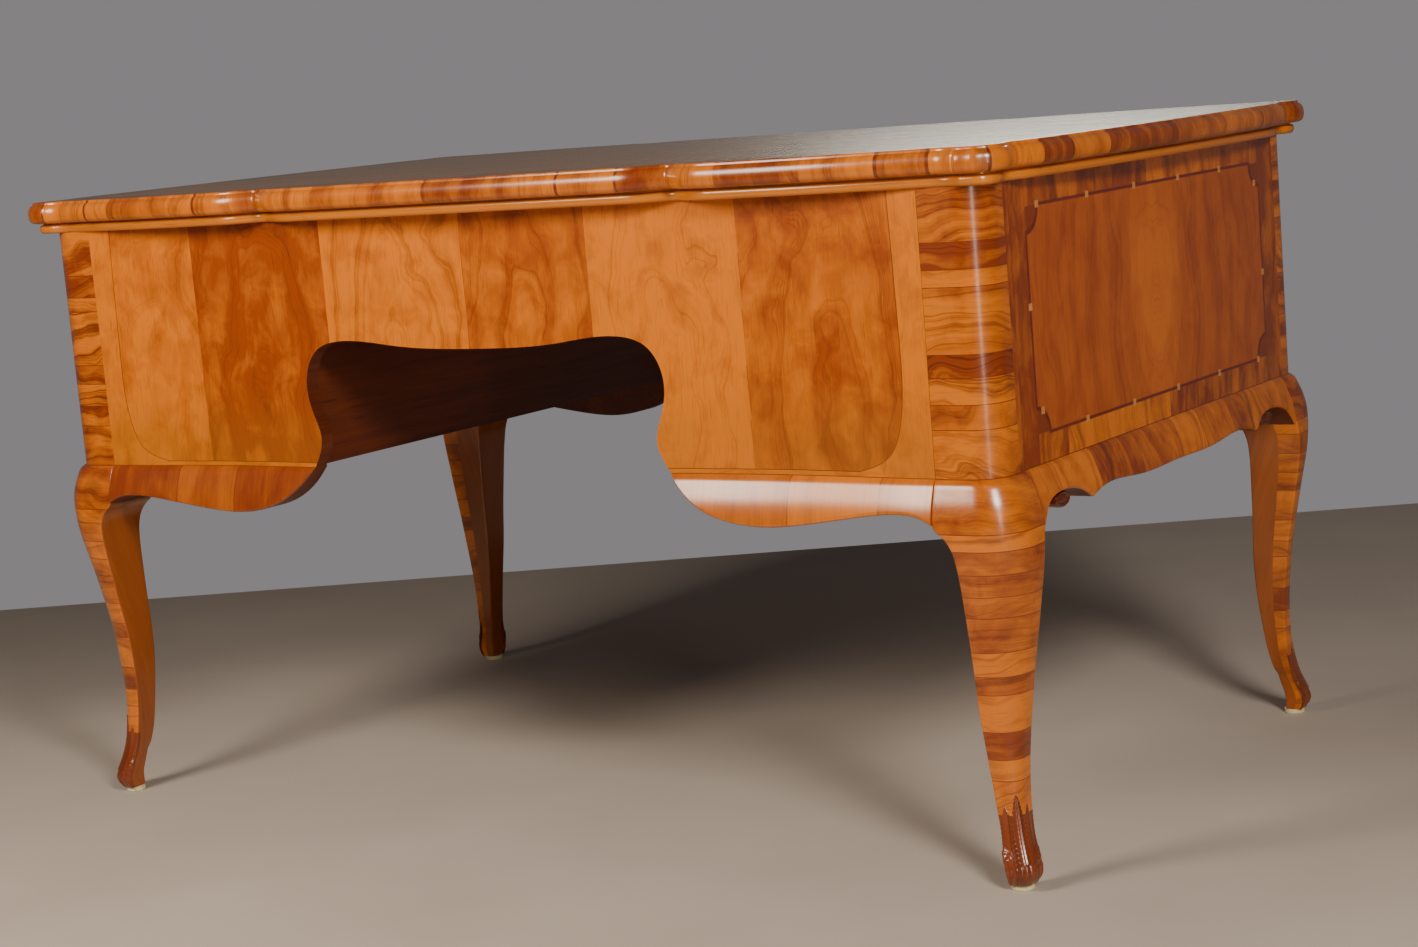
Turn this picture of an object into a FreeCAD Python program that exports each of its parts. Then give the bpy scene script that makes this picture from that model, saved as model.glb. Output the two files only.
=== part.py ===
import FreeCAD, Part
import math
import os

# Kneehole writing desk on four cabriole legs, veneered walnut, with five drawers.
# Millimetres. The floor is z = 0 and the origin is under the middle of the desk.
# The drawers open towards +Y, which is the front. The closed long side, with its
# arched kneehole, faces -Y. Left and right are those of a person who faces the
# drawers, so left is +X.

V = FreeCAD.Vector
X_AXIS = V(1, 0, 0)
Y_AXIS = V(0, 1, 0)
Z_AXIS = V(0, 0, 1)
ORIGIN = V(0, 0, 0)

# Overall sizes
TOTAL_HEIGHT = 780.0
TOP_THICKNESS = 27.0
MOULDING_HEIGHT = 13.0
CASE_HEIGHT = 300.0
TOP_HALF_LENGTH = 716.0
TOP_HALF_DEPTH = 447.0
TOP_OVERHANG_LENGTHWISE = 45.0
TOP_OVERHANG_DEPTHWISE = 36.0
TOP_EDGE_RADIUS = 12.0
CASE_CORNER_RADIUS = 35.0

# Corner posts, which run on downwards as the legs
POST_LENGTH = 73.0
POST_DEPTH = 60.0
KNEE_BULGE = 20.0
KNEE_RADIUS = 50.0
LEG_SHIFT_LENGTHWISE = 1.0
LEG_SHIFT_DEPTHWISE = 7.0
GLIDE_HEIGHT = 6.0
GLIDE_RADIUS = 12.5
GLIDE_EDGE = 1.5

# Boards of the case
PANEL_THICKNESS = 20.0
SIDE_THICKNESS = 18.0
WALL_THICKNESS = 18.0
BOTTOM_THICKNESS = 12.0
CEILING_THICKNESS = 12.0
RAIL_THICKNESS = 30.0
FACE_SWELL = 13.0
TOP_RAIL_HEIGHT = 22.0
DIVIDER_HEIGHT = 16.0
APRON_RISE = 4.0
MOULDING_SETBACK = 13.0
MOULDING_WIDTH = 60.0

# Kneehole and the shaped lower edges
KNEEHOLE_HALF_WIDTH = 261.0
KNEEHOLE_WALL_SETBACK = 11.0
ARCH_RISE_SHARE = 0.513
LONG_RAIL_DROP = 55.0
SIDE_RAIL_DROP = 46.0
STILE_LAP = 36.0
STILE_WIDTH = 67.0

# Drawers
DRAWER_DEPTH = 620.0
DRAWER_GAP = 1.2
SIDE_CLEARANCE = 0.8
RUN_CLEARANCE = 0.4
DRAWER_SIDE = 12.0
DRAWER_BACK = 12.0
DRAWER_BOTTOM = 6.0
DRAWER_BOTTOM_RAISE = 10.0
DRAWER_HEADROOM = 14.0
GROOVE_DEPTH = 6.0
STOP_LENGTH = 30.0
STOP_WIDTH = 12.0
STOP_HEIGHT = 6.0
STOP_CLEARANCE = 0.3
RUNNER_WIDTH = 18.0
RUNNER_HEIGHT = 16.0
GUIDE_RISE = 14.0
BLOCK_SIZE = 26.0
BLOCK_LENGTH = 60.0

# Brass fittings
HANDLE_HALF_SPAN = 34.0
HANDLE_DROP = 36.0
HANDLE_FLARE = 14.0
HANDLE_ROD_RADIUS = 3.0
HANDLE_BEND_RADIUS = 14.0
HANDLE_ELBOW_RADIUS = 6.0
HANDLE_STANDOFF = 17.0
HANDLE_HEIGHT_SHARE = 0.5
PIN_CLEARANCE = 0.08
PIN_DEPTH = 5.0
POST_HEAD_RADIUS = 7.0
POST_STEM_RADIUS = 4.0
ROSETTE_RADIUS = 14.0
ROSETTE_THICKNESS = 2.5
ESCUTCHEON_HALF_HEIGHT = 17.0
ESCUTCHEON_HALF_WIDTH = 11.0
ESCUTCHEON_THICKNESS = 1.6
KEYHOLE_RADIUS = 2.4
KEYHOLE_SLOT = 8.0
KEYHOLE_SLOT_WIDTH = 2.6
LOCK_WIDTH = 44.0
LOCK_HEIGHT = 30.0
LOCK_THICKNESS = 8.0
LOCK_BELOW_TOP = 14.0
FITTING_ROOT = 5.0
FITTING_PLAY = 0.1

# Length added to every cutting solid so that it passes right through
OVERRUN = 40.0

# Plan of a long side, from the middle to the corner post: share of the way to
# the post, and share of the swell by which the face lies back from the posts.
FACE_CURVE_SHARES = (
    (0.0, 1.0),
    (0.36, 0.5),
    (0.63, 0.88),
    (0.87, 0.34),
    (1.0, 0.0),
)

# Arch of the kneehole, from its middle to the rail: share of the half width,
# and share of the rise above the bottom of the case.
ARCH_SHARES = (
    (0.0, 0.92),
    (0.46, 0.955),
    (0.77, 1.0),
    (0.93, 0.92),
    (1.0, 0.71),
    (0.985, 0.455),
    (0.946, 0.227),
    (0.98, 0.065),
)

# Lower edge of a long rail, from the kneehole to the leg: share of the way, and
# share of the drop below the bottom of the case.
LONG_RAIL_SHARES = (
    (0.056, 0.36),
    (0.145, 0.73),
    (0.25, 0.93),
    (0.368, 1.0),
    (0.50, 0.945),
    (0.71, 0.76),
    (0.866, 0.69),
    (0.955, 0.855),
    (1.0, 1.2),
)

# Lower edge of a side rail, from the middle to the little scroll, and on from
# the scroll's point to the leg: share of the way, and share of the drop.
SIDE_RAIL_SHARES = (
    (0.0, 0.98),
    (0.30, 0.98),
    (0.58, 0.93),
    (0.655, 1.06),
)
SIDE_SCROLL_SHARES = (
    (0.655, 1.06),
    (0.70, 0.84),
    (0.78, 0.69),
    (0.87, 0.69),
    (0.955, 0.90),
    (1.0, 1.35),
)

# Bulge of the rails below the case: share of the rail's drop, share of the bulge.
RAIL_BULGE_SHARES = (
    (0.0, 0.0),
    (0.15, 0.40),
    (0.36, 0.70),
    (0.73, 0.88),
    (1.20, 1.0),
    (1.45, 1.0),
)

# Outer shape of a leg: share of the height of the case's bottom, share of the
# knee's bulge beyond the post, and share of the knee's corner radius.
LEG_OUTER_SHARES = (
    (1.0, 0.0, 0.70),
    (0.981, 0.40, 0.72),
    (0.955, 0.70, 0.76),
    (0.909, 0.88, 0.85),
    (0.850, 1.0, 0.95),
    (0.784, 0.94, 1.0),
    (0.705, 0.66, 0.98),
    (0.605, 0.27, 0.90),
    (0.523, -0.07, 0.76),
    (0.443, -0.32, 0.62),
    (0.350, -0.55, 0.46),
    (0.261, -0.65, 0.34),
    (0.182, -0.60, 0.26),
    (0.125, -0.42, 0.22),
    (0.072, 0.02, 0.24),
    (0.040, 0.14, 0.24),
)
LEG_TOE_SHARES = (-0.15, 0.20)

# Share of a leg's height over which it moves from the post's place to its own.
LEG_SHIFT_SHARE = 0.25

# Inner edges of a leg, seen from the long side and from the short side: share
# of the height of the case's bottom, then shares of the post's two widths.
LEG_INNER_SHARES = (
    (0.850, 1.0, 1.0),
    (0.805, 0.83, 0.91),
    (0.764, 0.74, 0.87),
    (0.682, 0.68, 0.865),
    (0.605, 0.645, 0.865),
    (0.443, 0.615, 0.865),
    (0.350, 0.59, 0.85),
    (0.255, 0.53, 0.81),
    (0.182, 0.485, 0.77),
    (0.125, 0.445, 0.72),
    (0.060, 0.405, 0.67),
)

# Where the two stops of a drawer stand along its front, and the glue blocks
# along half a side panel.
STOP_PLACE_SHARES = (0.25, 0.75)
BLOCK_PLACE_SHARES = (-0.7, 0.0, 0.7)

# Outline of the top in one quarter: shares of the half length and half depth,
# and share of the shorter neighbouring run that the rounding takes up.
TOP_OUTLINE_SHARES = (
    (0.0, 1.0, 0.48),
    (0.366, 0.991, 0.45),
    (0.419, 0.944, 0.08),
    (0.469, 0.991, 0.45),
    (0.670, 0.996, 0.45),
    (0.888, 0.953, 0.45),
    (0.909, 0.969, 0.42),
    (0.976, 0.966, 0.64),
    (0.976, 0.861, 0.42),
    (0.964, 0.825, 0.45),
    (0.983, 0.740, 0.45),
    (1.0, 0.0, 0.48),
)

# Sizes that follow from the ones above
CASE_TOP = TOTAL_HEIGHT - TOP_THICKNESS - MOULDING_HEIGHT
CASE_BOTTOM = CASE_TOP - CASE_HEIGHT
CASE_HALF_LENGTH = TOP_HALF_LENGTH - TOP_OVERHANG_LENGTHWISE
CASE_HALF_DEPTH = TOP_HALF_DEPTH - TOP_OVERHANG_DEPTHWISE
FACE_HALF = CASE_HALF_LENGTH - POST_LENGTH
SIDE_HALF = CASE_HALF_DEPTH - POST_DEPTH
SIDE_INNER = CASE_HALF_LENGTH - SIDE_THICKNESS
OPENING_TOP = CASE_TOP - TOP_RAIL_HEIGHT
SILL_TOP = CASE_BOTTOM + BOTTOM_THICKNESS
UPPER_FLOOR = (SILL_TOP + OPENING_TOP + DIVIDER_HEIGHT) / 2
LOWER_CEILING = UPPER_FLOOR - DIVIDER_HEIGHT
ARCH_RISE = ARCH_RISE_SHARE * CASE_HEIGHT
CENTRE_FLOOR = CASE_BOTTOM + ARCH_RISE + CEILING_THICKNESS + APRON_RISE
KNEEHOLE_WALL = KNEEHOLE_HALF_WIDTH + KNEEHOLE_WALL_SETBACK
STILE_INNER = KNEEHOLE_HALF_WIDTH - STILE_LAP
STILE_OUTER = STILE_INNER + STILE_WIDTH
INNER_FACE = CASE_HALF_DEPTH - FACE_SWELL - PANEL_THICKNESS
REACH = CASE_HALF_LENGTH + CASE_HALF_DEPTH
LEFT = 1
RIGHT = -1
SIDES = (("left", LEFT), ("right", RIGHT))


def box(x0, x1, y0, y1, z0, z1):
    return Part.makeBox(x1 - x0, y1 - y0, z1 - z0, V(x0, y0, z0))


def mirrored(shape, axis):
    return shape.mirror(ORIGIN, axis)


def for_side(shape, side):
    """A shape made for the left, or its mirror image for the right."""
    if side == LEFT:
        return shape
    return mirrored(shape, X_AXIS)


def smooth_edge(points, start=None, end=None):
    curve = Part.BSplineCurve()
    if start is None:
        curve.interpolate(Points=points)
    else:
        curve.interpolate(Points=points, InitialTangent=start, FinalTangent=end)
    return curve.toShape()


def polyline(points):
    return [Part.LineSegment(a, b).toShape() for a, b in zip(points, points[1:])]


def prism(edges, direction):
    wire = Part.Wire(Part.__sortEdges__(edges))
    return Part.Face(wire).extrude(direction)


def only_solid(shape):
    """The single solid of a boolean's result."""
    solids = shape.Solids
    if len(solids) != 1:
        raise ValueError("expected one solid, found %d" % len(solids))
    return solids[0]


def face_edges(inset, height):
    """The serpentine plan curve of the front, moved inwards by the inset."""
    half = []
    for along, back in FACE_CURVE_SHARES:
        half.append(V(along * FACE_HALF, CASE_HALF_DEPTH - inset - back * FACE_SWELL, height))
    left = smooth_edge(half, X_AXIS, X_AXIS)
    return [left, mirrored(left, X_AXIS)]


def face_y(x):
    """How far forward the front's face lies at one place along it."""
    line = Part.LineSegment(V(abs(x), 0, 0), V(abs(x), REACH, 0)).toShape()
    return face_edges(0, 0)[0].distToShape(line)[1][0][0].y


def plan_region(inset, z0, z1):
    """All that lies between the two serpentine faces, moved inwards by the inset."""
    front = face_edges(inset, z0)
    back = [mirrored(edge, Y_AXIS) for edge in front]
    corner = CASE_HALF_DEPTH - inset
    right_end = polyline([V(-FACE_HALF, corner, z0), V(-FACE_HALF, -corner, z0)])
    left_end = polyline([V(FACE_HALF, corner, z0), V(FACE_HALF, -corner, z0)])
    return prism(front + back + right_end + left_end, V(0, 0, z1 - z0))


def curved_board(x0, x1, z0, z1, outer=0.0, inner=PANEL_THICKNESS):
    """A board of the front whose two faces both follow the serpentine."""
    whole = plan_region(outer, z0, z1).cut(plan_region(inner, z0, z1))
    return whole.common(box(x0, x1, 0, REACH, z0, z1))


def curved_block(x0, x1, z0, z1, y_back, outer=0.0):
    """A piece with a serpentine front face and a straight back."""
    return plan_region(outer, z0, z1).common(box(x0, x1, y_back, REACH, z0, z1))


def long_edge_points():
    """Lower edge of a long side, from the middle of the arch to the leg."""
    points = []
    for across, up in ARCH_SHARES:
        points.append(V(across * KNEEHOLE_HALF_WIDTH, 0, CASE_BOTTOM + up * ARCH_RISE))
    run = FACE_HALF - KNEEHOLE_HALF_WIDTH
    for along, down in LONG_RAIL_SHARES:
        points.append(V(KNEEHOLE_HALF_WIDTH + along * run, 0, CASE_BOTTOM - down * LONG_RAIL_DROP))
    return points


def long_outline():
    """All that lies above the shaped lower edge, right through the desk."""
    half = long_edge_points()
    other = [V(-p.x, p.y, p.z) for p in reversed(half[1:])]
    lower = smooth_edge(other + half)
    start = other[0]
    end = half[-1]
    rest = polyline([end, V(end.x, 0, CASE_TOP), V(start.x, 0, CASE_TOP), start])
    solid = prism([lower] + rest, V(0, 2 * REACH, 0))
    return solid.translated(V(0, -REACH, 0))


def side_outline():
    """All that lies above the shaped lower edge of a short side."""
    inner = []
    for along, down in SIDE_RAIL_SHARES:
        inner.append(V(0, along * SIDE_HALF, CASE_BOTTOM - down * SIDE_RAIL_DROP))
    scroll = []
    for along, down in SIDE_SCROLL_SHARES:
        scroll.append(V(0, along * SIDE_HALF, CASE_BOTTOM - down * SIDE_RAIL_DROP))
    other = [V(0, -p.y, p.z) for p in reversed(inner[1:])]
    edges = [smooth_edge(other + inner), smooth_edge(scroll)]
    edges.append(mirrored(edges[1], Y_AXIS))
    end = scroll[-1]
    top = [end, V(0, end.y, CASE_BOTTOM), V(0, -end.y, CASE_BOTTOM), V(0, -end.y, end.z)]
    return prism(edges + polyline(top), V(REACH, 0, 0))


def corner_section(x_out, y_out, x_in, y_in, radius, height):
    """A rectangle in plan whose outer corner is rounded."""
    a = V(x_in, y_in, height)
    b = V(x_out, y_in, height)
    c = V(x_out, y_out - radius, height)
    d = V(x_out - radius, y_out, height)
    e = V(x_in, y_out, height)
    centre = V(x_out - radius, y_out - radius, height)
    middle = centre + V(1, 1, 0).normalize() * radius
    edges = [
        Part.LineSegment(a, b).toShape(),
        Part.LineSegment(b, c).toShape(),
        Part.Arc(c, middle, d).toShape(),
        Part.LineSegment(d, e).toShape(),
        Part.LineSegment(e, a).toShape(),
    ]
    return Part.Wire(edges)


def leg_section(height, bulge_share, radius_share):
    """One level of a leg's outer shape. The inner corner is cut back later."""
    settled = min(1.0, (CASE_BOTTOM - height) / (LEG_SHIFT_SHARE * CASE_BOTTOM))
    x_out = CASE_HALF_LENGTH + bulge_share * KNEE_BULGE + settled * LEG_SHIFT_LENGTHWISE
    y_out = CASE_HALF_DEPTH + bulge_share * KNEE_BULGE - settled * LEG_SHIFT_DEPTHWISE
    radius = radius_share * KNEE_RADIUS
    return corner_section(x_out, y_out, FACE_HALF - OVERRUN, SIDE_HALF - OVERRUN, radius, height)


def leg_inner_solid(lengthwise):
    """What is left of the leg's blank once its inner edge is sawn to a curve."""
    points = []
    for height_share, x_share, y_share in LEG_INNER_SHARES:
        if lengthwise:
            across = V(CASE_HALF_LENGTH - x_share * POST_LENGTH, 0, 0)
        else:
            across = V(0, CASE_HALF_DEPTH - y_share * POST_DEPTH, 0)
        points.append(across + V(0, 0, height_share * CASE_BOTTOM))
    outwards = V(REACH, 0, 0) if lengthwise else V(0, REACH, 0)
    sideways = V(0, REACH, 0) if lengthwise else V(REACH, 0, 0)
    top = V(points[0].x, points[0].y, CASE_TOP)
    foot = V(points[-1].x, points[-1].y, GLIDE_HEIGHT)
    start = Z_AXIS * -1
    edges = [smooth_edge(points, start, start)]
    edges += polyline([points[-1], foot, foot + outwards, top + outwards, top, points[0]])
    return prism(edges, sideways)


def leg():
    """Front left leg: a square post above, a cabriole leg below, in one piece."""
    sections = []
    for height_share, bulge_share, radius_share in LEG_OUTER_SHARES:
        sections.append(leg_section(height_share * CASE_BOTTOM, bulge_share, radius_share))
    sections.append(leg_section(GLIDE_HEIGHT, *LEG_TOE_SHARES))
    sections.reverse()
    outer = Part.makeLoft(sections, True, False)
    shaped = outer.common(leg_inner_solid(True)).common(leg_inner_solid(False))
    post = corner_section(
        CASE_HALF_LENGTH, CASE_HALF_DEPTH, FACE_HALF, SIDE_HALF, CASE_CORNER_RADIUS, CASE_BOTTOM
    )
    post_solid = Part.Face(post).extrude(V(0, 0, CASE_TOP - CASE_BOTTOM))
    return only_solid(shaped.fuse(post_solid).removeSplitter())


def glide_centre():
    """Middle of the sole of the front left foot."""
    toe = LEG_TOE_SHARES[0] * KNEE_BULGE
    x_out = CASE_HALF_LENGTH + toe + LEG_SHIFT_LENGTHWISE
    y_out = CASE_HALF_DEPTH + toe - LEG_SHIFT_DEPTHWISE
    x_in = CASE_HALF_LENGTH - LEG_INNER_SHARES[-1][1] * POST_LENGTH
    y_in = CASE_HALF_DEPTH - LEG_INNER_SHARES[-1][2] * POST_DEPTH
    return V((x_out + x_in) / 2, (y_out + y_in) / 2, 0)


def glides():
    """A pale disc under each foot."""
    disc = Part.makeCylinder(GLIDE_RADIUS, GLIDE_HEIGHT, glide_centre())
    lower_rim = [edge for edge in disc.Edges if edge.BoundBox.ZMax < GLIDE_EDGE]
    disc = disc.makeFillet(GLIDE_EDGE, lower_rim)
    pair = [disc, mirrored(disc, X_AXIS)]
    return Part.makeCompound(pair + [mirrored(d, Y_AXIS) for d in pair])


def bulge_points(outer_face):
    """Outline of a rail's swelling, as distance out and height."""
    points = []
    for down, out in RAIL_BULGE_SHARES:
        points.append((outer_face + out * KNEE_BULGE, CASE_BOTTOM - down * LONG_RAIL_DROP))
    return points


def long_rail():
    """The swelling rail under the left pedestal's front, with its lobed lower edge."""
    wires = []
    for out, height in bulge_points(0.0):
        outer = face_edges(-out, height)
        corner = CASE_HALF_DEPTH + out
        y_back = CASE_HALF_DEPTH - RAIL_THICKNESS
        ring = [V(FACE_HALF, corner, height), V(FACE_HALF, y_back, height)]
        ring += [V(-FACE_HALF, y_back, height), V(-FACE_HALF, corner, height)]
        wires.append(Part.Wire(Part.__sortEdges__(outer + polyline(ring))))
    band = Part.makeLoft(wires, True, False)
    return only_solid(band.common(long_outline()).common(box(0, REACH, 0, REACH, 0, CASE_BOTTOM)))


def side_rail():
    """The swelling rail under the left side panel, with a scroll near each leg."""
    curve = [V(out, 0, height) for out, height in bulge_points(CASE_HALF_LENGTH)]
    x_back = CASE_HALF_LENGTH - RAIL_THICKNESS
    ring = [curve[-1], V(x_back, 0, curve[-1].z), V(x_back, 0, CASE_BOTTOM), curve[0]]
    band = prism([smooth_edge(curve)] + polyline(ring), V(0, 2 * SIDE_HALF, 0))
    return only_solid(band.translated(V(0, -SIDE_HALF, 0)).common(side_outline()))


def back_panel():
    """The closed long side, one serpentine panel with the arch sawn out of it."""
    board = mirrored(curved_board(-FACE_HALF, FACE_HALF, CASE_BOTTOM, CASE_TOP), Y_AXIS)
    return only_solid(board.common(long_outline()))


def side_panel():
    return box(SIDE_INNER, CASE_HALF_LENGTH, -SIDE_HALF, SIDE_HALF, CASE_BOTTOM, CASE_TOP)


def inner_wall():
    """Wall between the kneehole and the left pedestal."""
    wall = box(KNEEHOLE_WALL, KNEEHOLE_WALL + WALL_THICKNESS, -REACH, REACH, CASE_BOTTOM, CASE_TOP)
    return wall.common(plan_region(PANEL_THICKNESS, CASE_BOTTOM, CASE_TOP))


def pedestal_bottom():
    """Floor of the left pedestal, notched round the two posts."""
    inner_edge = KNEEHOLE_WALL + WALL_THICKNESS
    narrow = box(inner_edge, FACE_HALF, -REACH, REACH, CASE_BOTTOM, SILL_TOP)
    narrow = narrow.common(plan_region(PANEL_THICKNESS, CASE_BOTTOM, SILL_TOP))
    wide = box(FACE_HALF, SIDE_INNER, -SIDE_HALF, SIDE_HALF, CASE_BOTTOM, SILL_TOP)
    return only_solid(narrow.fuse(wide).removeSplitter())


def kneehole_ceiling():
    """Board over the kneehole, on which the centre drawer runs."""
    z0 = CENTRE_FLOOR - CEILING_THICKNESS
    board = box(-KNEEHOLE_WALL, KNEEHOLE_WALL, -REACH, REACH, z0, CENTRE_FLOOR)
    return board.common(plan_region(PANEL_THICKNESS, z0, CENTRE_FLOOR))


def front_top_rail():
    return curved_board(-FACE_HALF, FACE_HALF, OPENING_TOP, CASE_TOP)


def front_apron():
    """Shaped rail over the kneehole, under the centre drawer."""
    board = curved_board(-STILE_INNER, STILE_INNER, CASE_BOTTOM, CENTRE_FLOOR)
    return only_solid(board.common(long_outline()))


def front_stile():
    """Upright between the kneehole and the left pedestal's drawers."""
    board = curved_board(STILE_INNER, STILE_OUTER, CASE_BOTTOM, OPENING_TOP)
    return only_solid(board.common(long_outline()))


def front_bottom_rail():
    """Front rail of the left pedestal: the swelling part and the sill above it."""
    sill = curved_board(STILE_OUTER, FACE_HALF, CASE_BOTTOM, SILL_TOP)
    return only_solid(long_rail().fuse(sill))


def back_bottom_rail():
    return mirrored(long_rail(), Y_AXIS)


def drawer_divider():
    """Rail between the two drawers of the left pedestal."""
    return curved_block(STILE_OUTER, FACE_HALF, LOWER_CEILING, UPPER_FLOOR, SIDE_HALF)


def drawer_runners():
    """Strips that carry the two upper drawers, the outer ones with a guide."""
    wall_face = KNEEHOLE_WALL + WALL_THICKNESS
    z0 = UPPER_FLOOR - RUNNER_HEIGHT
    inner = box(wall_face, wall_face + RUNNER_WIDTH, -INNER_FACE, SIDE_HALF, z0, UPPER_FLOOR)
    edge = FACE_HALF - RUNNER_WIDTH
    outer = box(edge, SIDE_INNER, -SIDE_HALF, SIDE_HALF, z0, UPPER_FLOOR)
    rise = UPPER_FLOOR + GUIDE_RISE
    guide = box(FACE_HALF, SIDE_INNER, -SIDE_HALF, SIDE_HALF, UPPER_FLOOR, rise)
    strips = [inner, outer.fuse(guide).removeSplitter()]
    return Part.makeCompound(strips + [mirrored(s, X_AXIS) for s in strips])


def drawer_guides():
    """Strips that keep the lower drawers and the centre drawer straight."""
    lower = box(FACE_HALF, SIDE_INNER, -SIDE_HALF, SIDE_HALF, SILL_TOP, SILL_TOP + GUIDE_RISE)
    rise = CENTRE_FLOOR + GUIDE_RISE
    centre = box(STILE_INNER, KNEEHOLE_WALL, -INNER_FACE, INNER_FACE, CENTRE_FLOOR, rise)
    strips = [lower, centre]
    return Part.makeCompound(strips + [mirrored(s, X_AXIS) for s in strips])


def drawer_kickers():
    """Strips under the top that keep an open drawer from tipping."""
    wall_face = KNEEHOLE_WALL + WALL_THICKNESS
    starts = (wall_face, FACE_HALF - RUNNER_WIDTH, STILE_INNER - RUNNER_WIDTH / 2)
    strips = []
    for start in starts:
        end = start + RUNNER_WIDTH
        strips.append(box(start, end, -INNER_FACE, INNER_FACE, OPENING_TOP, CASE_TOP))
    return Part.makeCompound(strips + [mirrored(s, X_AXIS) for s in strips])


def drawer_stops():
    """Small blocks that meet the back of each drawer front when it is shut."""
    blocks = []
    for drawer in DRAWERS:
        x0, x1, z0 = drawer[1:4]
        region = plan_region(PANEL_THICKNESS + STOP_CLEARANCE, z0, z0 + STOP_HEIGHT)
        for share in STOP_PLACE_SHARES:
            x = x0 + share * (x1 - x0) - STOP_LENGTH / 2
            y = face_y(x) - PANEL_THICKNESS - STOP_WIDTH
            block = box(x, x + STOP_LENGTH, y, REACH, z0, z0 + STOP_HEIGHT)
            blocks.append(only_solid(block.common(region)))
    return Part.makeCompound(blocks)


def glue_blocks():
    """Triangular blocks that tie the side panels to the top."""
    corner = V(SIDE_INNER, -BLOCK_LENGTH / 2, CASE_TOP)
    below = corner - V(0, 0, BLOCK_SIZE)
    inwards = corner - V(BLOCK_SIZE, 0, 0)
    block = prism(polyline([corner, below, inwards, corner]), V(0, BLOCK_LENGTH, 0))
    blocks = [block.translated(V(0, share * SIDE_HALF, 0)) for share in BLOCK_PLACE_SHARES]
    return Part.makeCompound(blocks + [mirrored(b, X_AXIS) for b in blocks])


def rounded_wire(points, height):
    """A closed outline: each corner is an arc, each run between two arcs is straight."""
    count = len(points)
    arcs = []
    for i in range(count):
        x, y, reach_share = points[i]
        here = V(x, y, height)
        before = V(points[i - 1][0], points[i - 1][1], height)
        after = V(points[(i + 1) % count][0], points[(i + 1) % count][1], height)
        run_in = here - before
        run_out = after - here
        reach = reach_share * min(run_in.Length, run_out.Length)
        start = here - run_in.normalize() * reach
        end = here + run_out.normalize() * reach
        half_turn = run_in.getAngle(run_out) / 2
        chord_middle = (start + end) * 0.5
        # The arc's middle lies this share of the way from its chord to the corner.
        depth_share = math.cos(half_turn) / (1.0 + math.cos(half_turn))
        arcs.append((start, chord_middle + (here - chord_middle) * depth_share, end))
    edges = []
    for i in range(count):
        start, middle, end = arcs[i]
        edges.append(Part.Arc(start, middle, end).toShape())
        edges.append(Part.LineSegment(end, arcs[(i + 1) % count][0]).toShape())
    return Part.Wire(edges)


def top_outline(height):
    quarter = []
    for x_share, y_share, reach_share in TOP_OUTLINE_SHARES:
        quarter.append((x_share * TOP_HALF_LENGTH, y_share * TOP_HALF_DEPTH, reach_share))
    lower = [(x, -y, reach) for x, y, reach in reversed(quarter[:-1])]
    left_half = quarter + lower
    right_half = [(-x, y, reach) for x, y, reach in reversed(left_half[1:-1])]
    return rounded_wire(left_half + right_half, height)


def top_board():
    """The lobed top with its rounded edge."""
    board = Part.Face(top_outline(TOTAL_HEIGHT - TOP_THICKNESS)).extrude(V(0, 0, TOP_THICKNESS))
    rims = [edge for edge in board.Edges if edge.BoundBox.ZLength < TOP_EDGE_RADIUS]
    return board.makeFillet(TOP_EDGE_RADIUS, rims)


def moulding_band():
    """The light band under the top: it follows the lobes, a little further in."""
    outline = top_outline(CASE_TOP).makeOffset2D(-MOULDING_SETBACK)
    return Part.Face(outline).extrude(V(0, 0, MOULDING_HEIGHT))


def moulding_strip(band, lengthwise):
    """One mitred length of the band, at the front or at the left."""
    x_in = CASE_HALF_LENGTH - MOULDING_WIDTH
    y_in = CASE_HALF_DEPTH - MOULDING_WIDTH
    if lengthwise:
        near = [(-x_in, y_in), (x_in, y_in)]
        far = [(x_in + REACH, y_in + REACH), (-x_in - REACH, y_in + REACH)]
    else:
        near = [(x_in, -y_in), (x_in, y_in)]
        far = [(x_in + REACH, y_in + REACH), (x_in + REACH, -y_in - REACH)]
    ring = [V(x, y, CASE_TOP) for x, y in near + far]
    return only_solid(band.common(prism(polyline(ring + ring[:1]), V(0, 0, MOULDING_HEIGHT))))


def drawer_opening(side, z0, z1):
    """Limits of one opening of a pedestal."""
    ends = sorted((side * STILE_OUTER, side * FACE_HALF))
    return ends[0], ends[1], z0, z1


def drawer_sides(x0, x1):
    """Outer faces of the two sides of the drawer in an opening."""
    return x0 + SIDE_CLEARANCE, x1 - SIDE_CLEARANCE


def drawer_bottom(x0, x1, z0):
    """Thin bottom, let into grooves of the sides and of the front."""
    low, high = drawer_sides(x0, x1)
    inset = DRAWER_SIDE - GROOVE_DEPTH
    z_low = z0 + RUN_CLEARANCE + DRAWER_BOTTOM_RAISE
    z_high = z_low + DRAWER_BOTTOM
    y_back = CASE_HALF_DEPTH - DRAWER_DEPTH
    board = box(low + inset, high - inset, y_back, REACH, z_low, z_high)
    return board.common(plan_region(PANEL_THICKNESS - GROOVE_DEPTH, z_low, z_high))


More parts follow.
